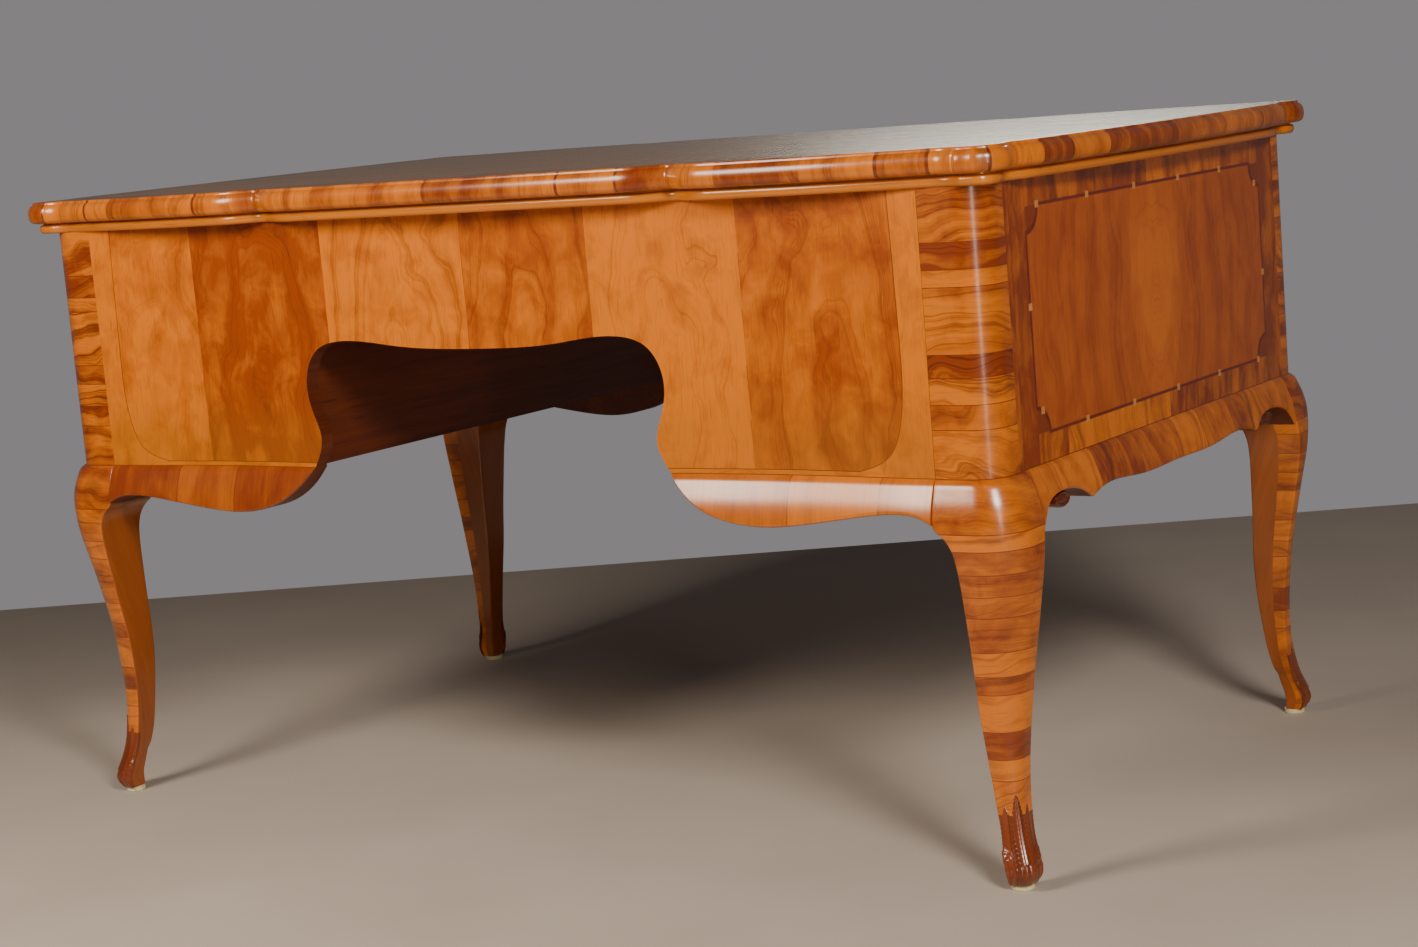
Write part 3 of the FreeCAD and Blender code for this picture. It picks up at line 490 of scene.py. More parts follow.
def holds(outline, x, z):
    """Whether a place lies within an outline."""
    ends = np.asarray(outline)
    starts = np.roll(ends, 1, axis=0)
    crossed = (starts[:, 1] > z) != (ends[:, 1] > z)
    starts, ends = starts[crossed], ends[crossed]
    share = (z - starts[:, 1]) / (ends[:, 1] - starts[:, 1])
    return np.count_nonzero(x < starts[:, 0] + share * (ends[:, 0] - starts[:, 0])) % 2 == 1


def middle_of(face, flat):
    return tuple(sum(flat[i][axis] for i in face) / len(face) for axis in (0, 1))


def filled(outline, lines=(), holes=()):
    """Triangles that fill an outline, cut along the given lines, with the holes left out."""
    points = []
    edges = []
    for closed in (outline,) + tuple(holes):
        start = len(points)
        points += [Vector(point) for point in closed]
        edges += [(start + i, start + (i + 1) % len(closed)) for i in range(len(closed))]
    for line in lines:
        start = len(points)
        points += [Vector(point) for point in line]
        edges += [(start + i, start + i + 1) for i in range(len(line) - 1)]
    # The output of kind 0 has all triangles, those outside the outline too.
    found = delaunay_2d_cdt(points, edges, [], 0, CUT_DISTANCE)
    places = found[0]
    limit = np.array(outline)
    kept = []
    for face in found[2]:
        x, z = middle_of(face, places)
        if holds(limit, x, z) and not any(holds(hole, x, z) for hole in holes):
            kept.append(list(face))
    used = sorted({i for face in kept for i in face})
    number = {old: new for new, old in enumerate(used)}
    return [tuple(places[i]) for i in used], [[number[i] for i in face] for face in kept]


def add_face(part, face, grain, look, slot):
    part.faces.append(face)
    part.grain.append(grain)
    part.looks.append(look)
    part.slots.append(slot)


def lay(part, face, flat, look, slot=None):
    """Adds one face of a board, with its place on the veneer, and a slot of its own if given."""
    usual, tone, grain_at = look
    grain = [grain_at(*flat[i % len(flat)]) for i in face]
    add_face(part, face, grain, tone, usual if slot is None else slot)


def board(outline, outer, inner, look_at, lines=(), holes=(), hidden=None, rim_slot=None):
    """A board: its outline filled at the outer face and at the inner one, closed at the rim.

    look_at gives, for a place, the material slot, the look and the rule of the grain; hidden
    and rim_slot are the slots of the inner face and of the rim, where they differ."""
    flat, faces = filled(outline, lines, holes)
    count = len(flat)
    part = Part([outer(x, z) for x, z in flat] + [inner(x, z) for x, z in flat], [], [], [], [])
    rim = {}
    for face in faces:
        look = look_at(*middle_of(face, flat))
        lay(part, face, flat, look)
        lay(part, [i + count for i in reversed(face)], flat, look, hidden)
        for a, b in zip(face, face[1:] + face[:1]):
            if (b, a) in rim:
                del rim[(b, a)]
            else:
                rim[(a, b)] = look
    for (a, b), look in rim.items():
        lay(part, [b, a, a + count, b + count], flat, look, rim_slot)
    return part


def skin(rows, grain_at, look_at, capped=True):
    """Faces over rows of points, closed round each row and at both ends.

    grain_at gives the place on the veneer of a row and column, look_at the slot, the look
    and whether the grain is turned, for the face after a row and column."""
    count = len(rows[0])
    part = Part([point for row in rows for point in row], [], [], [], [])
    for i in range(len(rows) - 1):
        for k in range(count):
            a, b = i * count + k, i * count + (k + 1) % count
            slot, look, crossed = look_at(i, k)
            grain = [grain_at(i, k), grain_at(i, k + 1), grain_at(i + 1, k + 1), grain_at(i + 1, k)]
            if crossed:
                grain = [(along, across) for across, along in grain]
            add_face(part, [a, b, b + count, a + count], grain, look, slot)
    for i in (0, len(rows) - 1) if capped else ():
        slot, look, crossed = look_at(min(i, len(rows) - 2), 0)
        cap = [i * count + k for k in range(count)]
        add_face(part, cap, [grain_at(i, k) for k in range(count)], look, slot)
    return part


def plain_skin(rows, look=GLUE, capped=True):
    """Faces over rows of points, for a material without veneer or with the finest grain."""
    across, along = PLAIN_STEPS
    return skin(rows, lambda i, k: (across * k, along * i), lambda i, k: (0, look, False), capped)


def upright(middle=0.0, way=1.0):
    """Grain that runs upwards, measured across from the middle of its sheet."""
    return lambda x, z: ((x - middle) * way, z)


def level(x, z):
    """Grain that runs lengthwise."""
    return (z, x)


def band_joints(start, end, shortest, longest, seed):
    """Places of the joints between the short pieces of a cross-banding."""
    random = np.random.default_rng(seed)
    joints = [start]
    while joints[-1] < end - longest:
        joints.append(joints[-1] + random.uniform(shortest, longest))
    return joints + [end]


def band_tones(count, seed, tone, spread):
    """A tone, seed and figure for each short piece of a cross-banding."""
    random = np.random.default_rng(seed)
    return [(tone + spread * (random.random() - 0.5), random.random(), random.uniform(*BAND_FIGURE))
            for i in range(count)]


def band_look(value, joints, tones):
    """The look of a cross-banding at a place along it: a piece, or the glue of a joint."""
    if len(joints) and min(abs(value - joint) for joint in joints) < GLUE_WIDTH / 2.0:
        return FAINT_GLUE
    return tones[min(int(np.searchsorted(joints, value)), len(tones) - 1)]


def glue_lines(joints):
    """Both edges of the glue line at each joint."""
    return [joint + way * GLUE_WIDTH / 2.0 for joint in joints for way in (-1, 1)]


# Materials

def linear(text):
    """A colour given as the eye sees it, turned to the light it stands for."""
    values = [int(text[i:i + 2], 16) / 255.0 for i in (1, 3, 5)]
    return tuple(v / 12.92 if v <= 0.04045 else ((v + 0.055) / 1.055) ** 2.4 for v in values) + (1.0,)


def feed(tree, node, inputs):
    """Links or sets a node's inputs; a text is a colour."""
    for key, value in inputs.items():
        if isinstance(value, bpy.types.Node):
            value = value.outputs[0]
        if isinstance(value, bpy.types.NodeSocket):
            tree.links.new(value, node.inputs[key])
        else:
            node.inputs[key].default_value = linear(value) if isinstance(value, str) else value


def add(tree, kind, settings=None, inputs=None):
    """Adds a node, sets its properties, and sets or links its inputs."""
    node = tree.nodes.new(kind)
    for key, value in (settings or {}).items():
        setattr(node, key, value)
    feed(tree, node, inputs or {})
    return node


def maths(tree, operation, *values, clamp=False):
    settings = {"operation": operation, "use_clamp": clamp}
    return add(tree, "ShaderNodeMath", settings, dict(enumerate(values)))


def clamped_sum(tree, first, *others):
    for value in others:
        first = maths(tree, "ADD", first, value)
    return maths(tree, "ADD", first, 0.0, clamp=True)


def combined(tree, x, y, z):
    return add(tree, "ShaderNodeCombineXYZ", {}, {0: x, 1: y, 2: z})


def noise(tree, place, scale, detail, roughness=0.5, distortion=0.0):
    return add(tree, "ShaderNodeTexNoise", {}, {
        "Vector": place, "Scale": scale, "Detail": detail, "Roughness": roughness,
        "Distortion": distortion})


def noise_along(tree, place, detail, roughness):
    """Noise that changes with one value alone."""
    return add(tree, "ShaderNodeTexNoise", {"noise_dimensions": "1D"}, {
        "W": place, "Scale": 1.0, "Detail": detail, "Roughness": roughness})


def ranged(tree, value, low, high, to_low=0.0, to_high=1.0, kind="LINEAR"):
    """A value brought from one range to another."""
    return add(tree, "ShaderNodeMapRange", {"interpolation_type": kind}, {
        "Value": value, "From Min": low, "From Max": high, "To Min": to_low, "To Max": to_high})


def eased(tree, value, low, high, to_low, to_high):
    """A value brought from one range to another, with soft ends."""
    return ranged(tree, value, low, high, to_low, to_high, "SMOOTHSTEP")


def mixed(tree, share, first, second):
    node = add(tree, "ShaderNodeMix", {"data_type": "RGBA"}, {"Factor": share, 6: first, 7: second})
    return node.outputs[2]


def bump(tree, height, strength, distance):
    return add(tree, "ShaderNodeBump", {}, {
        "Strength": strength, "Distance": distance, "Height": height})


def object_place(tree):
    return add(tree, "ShaderNodeTexCoord").outputs["Object"]


def new_material(name):
    """An empty material: its tree and its surface shader."""
    material = bpy.data.materials.new(name)
    material.use_nodes = True
    tree = material.node_tree
    tree.nodes.clear()
    shader = add(tree, "ShaderNodeBsdfPrincipled")
    add(tree, "ShaderNodeOutputMaterial", {}, {"Surface": shader})
    return material, tree, shader


# How a veneer was cut. Metres: ring is the spacing of the tree rings, wander how far they
# stray, pith how far off the heart of the log lies, height where along the sheet the knife
# came nearest to it, slant how fast it left it. Shares: stretch along the grain, strengths
# of the ring figure, the cloudy mottle and the dark lines, a light glow about the heart,
# and the dull bloom low on the long faces.
Cut = namedtuple("Cut", "ring wander pith height slant stretch figure mottle lines glow bloom rough")

FACE_CUT = Cut(0.028, 0.024, 0.0, 0.545, 0.26, 0.80, 0.34, 0.80, 0.34, 0.0, 0.6, 0.32)
BAND_CUT = Cut(0.028, 0.022, 2.0, 0.0, 0.0, 0.75, 0.80, 0.75, 0.70, 0.0, 0.0, 0.30)
RAIL_CUT = Cut(0.060, 0.015, 2.0, 0.0, 0.0, 0.40, 0.30, 0.40, 0.25, 0.0, 0.0, 0.26)
SIDE_CUT = Cut(0.026, 0.020, -0.004, 0.585, 0.42, 0.60, 0.18, 0.36, 0.26, 0.60, 0.0, 0.34)
TOP_CUT = Cut(0.026, 0.020, 0.0, 0.2, 0.20, 0.40, 0.50, 0.30, 0.5, 0.0, 0.0, 0.24)
MOULDING_CUT = Cut(0.020, 0.006, 2.0, 0.0, 0.0, 0.20, 0.30, 0.25, 0.2, 0.0, 0.0, 0.30)
LEG_CUT = Cut(0.024, 0.006, 2.0, 0.0, 0.0, 0.20, 0.25, 0.40, 0.3, 0.0, 0.0, 0.34)
CARVED_CUT = Cut(0.012, 0.006, 2.0, 0.0, 0.0, 0.30, 0.60, 0.60, 0.5, 0.0, 0.0, 0.30)

# Old polish gone dull and greyish, and the amber tint of the shellac.
BLOOM = "#96641E"
AMBER = (1.0, 0.92, 0.55, 1.0)


def walnut_veneer(name, light, dark, cut, streak=None):
    """Sawn walnut veneer under old shellac: tree rings cut at a slant, which gives arches of
    brown, fine fibres and pores along the grain, cloudy mottle, and a soft high gloss."""
    if name in bpy.data.materials:
        return bpy.data.materials[name]
    material, tree, shader = new_material(name)
    grain = add(tree, "ShaderNodeUVMap", {"uv_map": "veneer"})
    across, along = add(tree, "ShaderNodeSeparateXYZ", {}, {"Vector": grain}).outputs[:2]
    sheet = add(tree, "ShaderNodeAttribute", {"attribute_name": "sheet"})
    tone, seed, strength = add(tree, "ShaderNodeSeparateColor", {}, {"Color": sheet}).outputs
    seed_far = maths(tree, "MULTIPLY", seed, 31.0)
    place = combined(tree, across, maths(tree, "MULTIPLY", along, cut.stretch), seed_far)
    # Rings stray slowly, over about 100 mm.
    wander = noise(tree, place, 10.0, 2.5)
    stray = ranged(tree, wander, 0.25, 0.75, -cut.wander, cut.wander)
    side = maths(tree, "ADD", maths(tree, "ADD", across, cut.pith), stray)
    up = maths(tree, "MULTIPLY_ADD", maths(tree, "SUBTRACT", along, cut.height), cut.slant, stray)
    heart = combined(tree, side, up, 0.0)
    distance = add(tree, "ShaderNodeVectorMath", {"operation": "LENGTH"}, {0: heart}).outputs["Value"]
    ring_place = maths(tree, "MULTIPLY_ADD", distance, 1.0 / cut.ring, seed_far)
    rings = noise_along(tree, ring_place, 3.0, 0.55)
    ring_part = eased(tree, rings, 0.32, 0.68, -0.5 * cut.figure, 0.5 * cut.figure)
    # Fibres are drawn 2 mm wide and pores 1 mm, coarser than real ones, so that they show.
    fine_along = maths(tree, "MULTIPLY", along, 14.0)
    fine_place = combined(tree, maths(tree, "MULTIPLY", across, 480.0), fine_along, seed_far)
    fibres = noise(tree, fine_place, 1.0, 3.0, 0.7)
    fibre_part = ranged(tree, fibres, 0.3, 0.7, -0.09, 0.09)
    pores = ranged(tree, noise(tree, fine_place, 1.9, 1.0), 0.62, 0.76, 0.0, 0.35)
    # Clouds about 40 mm wide.
    clouds = noise(tree, place, 26.0, 4.0, 0.6, 0.5)
    cloud_part = ranged(tree, clouds, 0.3, 0.7, -0.5 * cut.mottle, 0.5 * cut.mottle)
    # The share of the dark colour: the sheet's tone, moved by rings, clouds and fibres, and
    # lighter about the heart.
    glow = eased(tree, distance, 0.015, 0.085, -cut.glow, 0.0)
    share = maths(tree, "MULTIPLY_ADD", ring_part, strength, tone)
    share = clamped_sum(tree, share, cloud_part, glow, fibre_part)
    # Thin dark lines where the rings are tight: the places where a finer noise passes 0.52.
    line_place = maths(tree, "MULTIPLY_ADD", distance, 3.0 / cut.ring, seed_far)
    off_line = maths(tree, "SUBTRACT", noise_along(tree, line_place, 2.0, 0.5), 0.52)
    thin = eased(tree, maths(tree, "ABSOLUTE", off_line), 0.0, 0.055, cut.lines, 0.0)
    tight = eased(tree, rings, 0.42, 0.62, 0.10, 1.0)
    lines = maths(tree, "MULTIPLY", maths(tree, "MULTIPLY", thin, tight), strength)
    # Long dark smudges of heartwood, about 15 mm wide.
    smudge_along = maths(tree, "MULTIPLY", along, 7.0)
    smudge_place = combined(tree, maths(tree, "MULTIPLY", side, 34.0), smudge_along, seed_far)
    smudges = eased(tree, noise(tree, smudge_place, 1.0, 3.0), 0.57, 0.80, 0.0, 0.9 * cut.lines)
    # A tone above 1 is glue.
    glue = maths(tree, "MAXIMUM", maths(tree, "SUBTRACT", tone, 1.0), 0.0)
    darkened = clamped_sum(tree, lines, smudges, pores, glue)
    colour = mixed(tree, darkened, mixed(tree, share, light, dark), streak or colours().streak)
    if cut.bloom:
        # The bloom lies in patches, low on the case.
        low = eased(tree, along, 0.46, 0.56, cut.bloom, 0.0)
        colour = mixed(tree, maths(tree, "MULTIPLY", low, wander), colour, BLOOM)
    # Amber shellac warms the wood under it and reflects softly.
    feed(tree, shader, {
        "Base Color": colour,
        "Roughness": ranged(tree, clouds, 0.3, 0.7, cut.rough - 0.05, cut.rough + 0.07),
        "Normal": bump(tree, fibres, 0.25, 0.0002),
        "Specular IOR Level": 0.15,
        "Coat Weight": 1.0,
        "Coat IOR": 1.6,
        "Coat Roughness": 0.24,
        "Coat Tint": AMBER})
    return material


def face_veneer():
    return walnut_veneer("walnut_bookmatched_veneer", colours().honey, colours().russet, FACE_CUT)


def band_veneer():
    return walnut_veneer("walnut_crossband_veneer", colours().band_light, colours().band_dark, BAND_CUT)


def rail_veneer():
    return walnut_veneer("walnut_rail_veneer", colours().band_light, colours().band_dark, RAIL_CUT)


def side_veneer():
    return walnut_veneer("walnut_flame_veneer", colours().side_light, colours().chestnut, SIDE_CUT)


def top_veneer():
    # The walnut's colours, painted lighter and greyer for the reflection of the room in the polished top.
    return walnut_veneer("walnut_top_veneer", "#A4683A", "#6C3E20", TOP_CUT)


def leg_walnut():
    return walnut_veneer("walnut_leg_solid", "#A8581A", "#6E320C", LEG_CUT)


def moulding_wood():
    return walnut_veneer("pear_moulding", colours().moulding, "#A85A14", MOULDING_CUT, "#6A2C08")


def carved_walnut():
    return walnut_veneer("carved_stained_walnut", colours().foot, "#5E260E", CARVED_CUT, "#2C0E06")


def plain_wood(name, light, dark, pore, long_axis, roughness, coat=0.0):
    """Planed solid wood: straight grain along one axis, with dark pores drawn out along it."""
    if name in bpy.data.materials:
        return bpy.data.materials[name]
    material, tree, shader = new_material(name)
    # Grain lines run about 6 mm apart, and each is drawn out thirty times along the board.
    scale = [170.0, 170.0, 170.0]
    scale[long_axis] = 6.0
    place = add(tree, "ShaderNodeMapping", {}, {"Vector": object_place(tree), "Scale": scale})
    grain = noise(tree, place, 1.0, 4.0, 0.6, 0.3)
    both = maths(tree, "MULTIPLY_ADD", noise(tree, place, 0.16, 2.0), 0.9, grain)
    ground = mixed(tree, ranged(tree, both, 0.65, 1.25), light, dark)
    pores = ranged(tree, noise(tree, place, 3.0, 1.0), 0.62, 0.74, 0.0, 0.6)
    feed(tree, shader, {
        "Base Color": mixed(tree, pores, ground, pore),
        "Normal": bump(tree, both, 0.3, 0.0003),
        "Roughness": roughness,
        "Coat Weight": coat})
    return material


def wall_walnut():
    return plain_wood("polished_inner_walnut", "#6A2C0A", "#441606", "#2A0E04", 1, 0.5, 0.08)


def string_dark():
    return plain_wood("stained_plum_string", "#7A280C", "#5E1A08", "#360C05", 1, 0.3, 0.5)


def string_light():
    return plain_wood("maple_squares", "#D09048", "#B87A34", "#8A5420", 1, 0.3, 0.5)


def carcase_pine():
    return plain_wood("stained_pine_front_to_back", "#8C6238", "#6B4422", "#46280F", 1, 0.62)


def drawer_beech():
    return plain_wood("planed_beech", "#D2A878", "#BC8E5C", "#8E6238", 1, 0.5)


def drawer_beech_cross():
    return plain_wood("planed_beech_bottom", "#CBA070", "#B48654", "#86592F", 0, 0.55)


def aged_brass():
    """Cast and burnished brass: warm yellow metal, patches of brown tarnish, a fine casting grain."""
    if "aged_cast_brass" in bpy.data.materials:
        return bpy.data.materials["aged_cast_brass"]
    material, tree, shader = new_material("aged_cast_brass")
    # Tarnish lies in patches of about 6 mm, casting grain is 0.8 mm.
    place = object_place(tree)
    patches = noise(tree, place, 160.0, 4.0)
    tarnish = eased(tree, patches, 0.45, 0.72, 0.0, 0.75)
    feed(tree, shader, {
        "Base Color": mixed(tree, tarnish, colours().brass, "#7A5526"),
        "Roughness": ranged(tree, patches, 0.3, 0.75, 0.22, 0.48),
        "Normal": bump(tree, noise(tree, place, 1200.0, 2.0), 0.15, 0.0001),
        "Metallic": 1.0})
    return material


def glide_nylon():
    """Moulded cream nylon, a little waxy, scuffed grey where it slides."""
    material, tree, shader = new_material("cream_nylon")
    scuffs = noise(tree, object_place(tree), 300.0, 3.0)
    feed(tree, shader, {
        "Base Color": mixed(tree, ranged(tree, scuffs, 0.45, 0.75, 0.0, 0.5), colours().glide, "#A89E78"),
        "Normal": bump(tree, scuffs, 0.2, 0.0002),
        "Roughness": 0.5,
        "Subsurface Weight": 0.1})
    return material


def floor_paint():
    """Pale warm grey studio floor, matt, with a faint cloudy mottle."""
    material, tree, shader = new_material("pale_studio_floor")
    mottle = ranged(tree, noise(tree, object_place(tree), 3.0, 4.0), 0.3, 0.7)
    feed(tree, shader, {"Base Color": mixed(tree, mottle, "#C5B8AA", "#BCAFA1"), "Roughness": 0.8})
    return material


# Long faces

# Half the width of the glue line between two sheets.
SHEET_GLUE = GLUE_WIDTH / 3.0

# A board of a long side is cut into columns of this width, and into this many levels.
BOARD_COLUMN = 0.012
BOARD_LEVELS = 5


def face_look(x, z):
    """Upright bookmatched sheets: every second one is turned over."""
    number = max(i for i, (start, tone) in enumerate(FACE_SHEETS) if x >= start or i == 0)
    start, tone = FACE_SHEETS[number]
    end = (FACE_SHEETS + ((FACE_SHEETS_END, 0.0),))[number + 1][0]
    if number and abs(x - start) < SHEET_GLUE:
        return 0, GLUE, upright()
    # Dark sheets come from one log and light ones from another, and they change little by little.
    seed = (0.35 if tone > 0.4 else 0.7) + 0.013 * number
    return 0, (tone, seed, 0.9), upright((start + end) / 2.0, -1.0 if number % 2 else 1.0)


class FramedFace:
    """Looks of a long face: sheets in a field, a seam round it, and a border outside."""

    # Width of the upright border, how far lines run past the face, how far the seam leans out
    # over the case's edge, and the looks of the border's parts.
    BORDER = 0.03
    MARGIN = 0.01
    SEAM_LEAN = 0.004
    UPPER_LOOK = (0.10, 0.45, 0.5)
    LEFT_LOOK = (0.12, 0.2, 0.5)
    RIGHT_LOOK = (0.12, 0.8, 0.5)

    def __init__(self):
        bottom, top = case_bottom(), case_top()
        bend = [tuple(point) for point in smooth_curve(FACE_SEAM, 40)]
        right = [(FACE_SEAM[0][0] + self.SEAM_LEAN, top + self.MARGIN)] + bend
        self.inner = right + [(-x, z) for x, z in reversed(right)]
        self.outer = widened(self.inner, GLUE_WIDTH)
        self.glue_top = bottom + GLUE_WIDTH
        self.lines = [self.inner + self.inner[:1], self.outer + self.outer[:1]]
        self.lines += [[(-face_half(), self.glue_top), (face_half(), self.glue_top)]]
        for start, tone in FACE_SHEETS[1:]:
            for x in (start - SHEET_GLUE, start + SHEET_GLUE):
                self.lines.append([(x, bottom - self.MARGIN), (x, top + self.MARGIN)])

    def look_at(self, x, z):
        if z < self.glue_top:
            return 0, GLUE, upright()
        if holds(self.inner, x, z):
            return face_look(x, z)
        if holds(self.outer, x, z):
            return 0, GLUE, upright()
        if abs(x) > self.inner[1][0] - self.BORDER:
            return 0, self.LEFT_LOOK if x > 0 else self.RIGHT_LOOK, upright(0.5 if x > 0 else -0.5)
        return 0, self.UPPER_LOOK, level


def long_board(outline, side, look_at, lines=(), holes=(), back=None, hidden=1, rim_slot=None):
    """A board of a long side, whose outer face follows the serpentine."""
    low = min(x for x, z in outline)
    high = max(x for x, z in outline)
    base = min(z for x, z in outline) - MM
    head = max(z for x, z in outline) + MM
    depth = sizes().panel
    columns = max(3, int((high - low) / BOARD_COLUMN))
    cuts = [[(x, base), (x, head)] for x in np.linspace(low, high, columns)[1:-1]]
    cuts += [[(low - MM, z), (high + MM, z)] for z in np.linspace(base, head, BOARD_LEVELS + 1)[1:-1]]

    def outer(x, z):
        return x, side * long_face(x), z

    def inner(x, z):
        return x, side * (long_face(x) - depth if back is None else back), z

    return board(outline, outer, inner, look_at, cuts + list(lines), holes, hidden, rim_slot)


class DESK_OT_back_face(bpy.types.Operator):
    """Closed back with its arch, in bookmatched sheets"""

    bl_idname = "desk.back_face"
    bl_label = "Back face"

    def execute(self, context):
        bottom, top, half = case_bottom(), case_top(), face_half()
        outline = [(-half, bottom)] + arch_edge() + [(half, bottom), (half, top), (-half, top)]
        framed = FramedFace()
        part = long_board(outline, -1, framed.look_at, framed.lines, rim_slot=1)
        piece = new_piece("back_face", part)
        dress(piece, [face_veneer(), wall_walnut()], nodes=["back_panel"])
        return {"FINISHED"}


class DESK_OT_front_frame(bpy.types.Operator):
    """Cross-banded frame round the drawers"""

    bl_idname = "desk.front_frame"
    bl_label = "Front frame"

    def execute(self, context):
        half, bottom = face_half(), case_bottom()
        opening_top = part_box("front_top_rail")[0].z
        apron_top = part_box("front_apron")[1].z
        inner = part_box("front_apron")[1].x
        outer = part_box("front_stile_left")[1].x
        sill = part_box("drawer_left_lower_front")[0].z - DRAWER_GAP
        rail = rectangle(-half, half, opening_top, case_top())
        self.banded("front_top_rail_veneered", rail, 0, 41, 42, ["front_top_rail"])
        arch = arch_edge()
        over = [(x, z) for x, z in arch if abs(x) < inner]
        apron = [(-inner, over[0][1])] + over
        apron += [(inner, over[-1][1]), (inner, apron_top), (-inner, apron_top)]
        piece = new_piece("front_apron_veneered", long_board(apron, 1, face_look, rim_slot=1))
        dress(piece, [face_veneer(), wall_walnut()], nodes=["front_apron"])
        stile = [(inner, over[-1][1])] + [(x, z) for x, z in arch if x > inner]
        stile += [(outer, bottom), (outer, opening_top), (inner, opening_top)]
        for number, (name, end) in enumerate(ENDS):
            own = [(end * x, z) for x, z in stile]
            stile_name = "front_stile_" + name
            self.banded(stile_name + "_veneered", own, 1, 48 + number, 45, [stile_name])
            low, high = sorted((end * outer, end * half))
            divider_name = "drawer_divider_" + name
            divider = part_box(divider_name)
            strip = rectangle(low, high, divider[0].z, divider[1].z)
            back = abs(divider[0].y)
            self.banded("front_divider_" + name, strip, 0, 18 + number, 43, [divider_name], back)
            strip = rectangle(low, high, bottom, sill)
            self.banded("front_sill_" + name, strip, 0, 15 + number, 43)
        return {"FINISHED"}

    def banded(self, name, outline, axis, joint_seed, tone_seed, nodes=(), back=None):
        """A board of short pieces, laid side by side along x (axis 0) or up z (axis 1)."""
        x_ends, z_ends = ((min(p[i] for p in outline), max(p[i] for p in outline)) for i in (0, 1))
        if axis == 0:
            joints = band_joints(*x_ends, shortest=0.05, longest=0.11, seed=joint_seed)
            lines = [[(x, z_ends[0] - MM), (x, z_ends[1] + MM)] for x in glue_lines(joints[1:-1])]
        else:
            joints = band_joints(case_bottom(), case_top(), shortest=0.04, longest=0.09, seed=joint_seed)
            lines = [[(x_ends[0] - MM, z), (x_ends[1] + MM, z)] for z in glue_lines(joints[1:-1])]
        tones = band_tones(len(joints), tone_seed, tone=0.45, spread=0.8)
        grain = level if axis else upright()

        def look_at(x, z):
            return 0, band_look((x, z)[axis], joints[1:-1], tones), grain

        piece = new_piece(name, long_board(outline, 1, look_at, lines, back=back, rim_slot=1))
        dress(piece, [band_veneer(), wall_walnut()], nodes=nodes)


# Rails and legs

# The veneered points of a rail's section, and how many places along it have a section.
RAIL_FACE_STEPS = 22
LONG_RAIL_PLACES = 110
SIDE_RAIL_PLACES = 190

# The rounding of a rail's lower edge: its radius, its greatest share of the rail's height,
# and the angles of its points. Then the bevel of the back edge, and a rail's least height.
RAIL_LIP = 0.003
LIP_SHARE = 0.4
LIP_ANGLES = (30.0, 60.0, 90.0)
BACK_BEVEL = 0.002
LEAST_HEIGHT = 0.0005


def swelling_rail(places, joints, tones, low, out_at, back, to_point):
    """A rail that swells out below the case: one row of points at each place along it."""
    top = case_bottom()
    rows = []
    depths = []
    for place in places:
        height = max(LEAST_HEIGHT, top - low(place))
        lip = min(RAIL_LIP, height * LIP_SHARE)
        ring = [(out_at(place, z), z) for z in np.linspace(top, top - height + lip, RAIL_FACE_STEPS)]
        out = ring[-1][0]
        for angle in (math.radians(degrees) for degrees in LIP_ANGLES):
            ring.append((out - lip * (1.0 - math.cos(angle)), top - height + lip * (1.0 - math.sin(angle))))
        ring += [(back + BACK_BEVEL, top - height), (back, top - height + 0.2 * lip), (back, top)]
        depths.append(-np.append(travelled(ring), travelled(ring)[-1]))
        rows.append([to_point(place, out, z) for out, z in ring])
    middles = [(a + b) / 2.0 for a, b in zip(places, places[1:])]
    looks = [band_look(middle, joints[1:-1], tones) for middle in middles]
    face_end = RAIL_FACE_STEPS + len(LIP_ANGLES) - 1
    return skin(
        rows, lambda i, k: (places[i], depths[i][k]),
        lambda i, k: (0 if k < face_end else 1, looks[i], False))


class DESK_OT_rails(bpy.types.Operator):
    """Swelling rails under the case, with their lobed and scrolled lower edges"""

    bl_idname = "desk.rails"
    bl_label = "Rails"

    def execute(self, context):
        for end_name, end, side_name, side in CORNERS:
            self.long_rail(end_name, end, side_name, side)
        for end_name, end in ENDS:
            self.side_rail(end_name, end)
        return {"FINISHED"}

    def long_rail(self, end_name, end, side_name, side):
        start = below_case()[0, 0]
        seed = 3 + 2 * end + side
        joints = band_joints(start, face_half(), shortest=0.07, longest=0.16, seed=seed)
        tones = band_tones(len(joints), seed, tone=0.22 if end > 0 else 0.85, spread=0.4)
        even = np.linspace(start, face_half(), LONG_RAIL_PLACES)
        places = sorted(set(even) | set(glue_lines(joints[1:-1])))
        part = swelling_rail(
            places, joints, tones, rail_low,
            lambda x, z: long_face(x) + rail_bulge(z),
            sizes().half_depth - sizes().rail,
            lambda x, out, z: (end * x, side * out, z))
        piece = new_piece("long_rail_%s_%s" % (side_name, end_name), part)
        dress(piece, [rail_veneer(), wall_walnut()],
              nodes=["%s_bottom_rail_%s" % (side_name, end_name)])

    def side_rail(self, end_name, end):
        half = side_half()
        joints = [-half] + [y for y, tone in SIDE_RAIL_PIECES] + [half]
        tones = [(0.25, 0.3, 0.5)]
        tones += [(tone, 0.17 * n, 0.5) for n, (y, tone) in enumerate(SIDE_RAIL_PIECES)]
        even = np.linspace(-half, half, SIDE_RAIL_PLACES)
        places = sorted(set(even) | set(glue_lines(joints[1:-1])))
        part = swelling_rail(
            places, joints, tones, side_low,
            lambda y, z: sizes().half_length + rail_bulge(z),
            sizes().half_length - sizes().rail,
            lambda y, out, z: (end * out, y, z))
        piece = new_piece("side_rail_%s_veneered" % end_name, part)
        dress(piece, [band_veneer(), wall_walnut()], nodes=["side_rail_" + end_name])


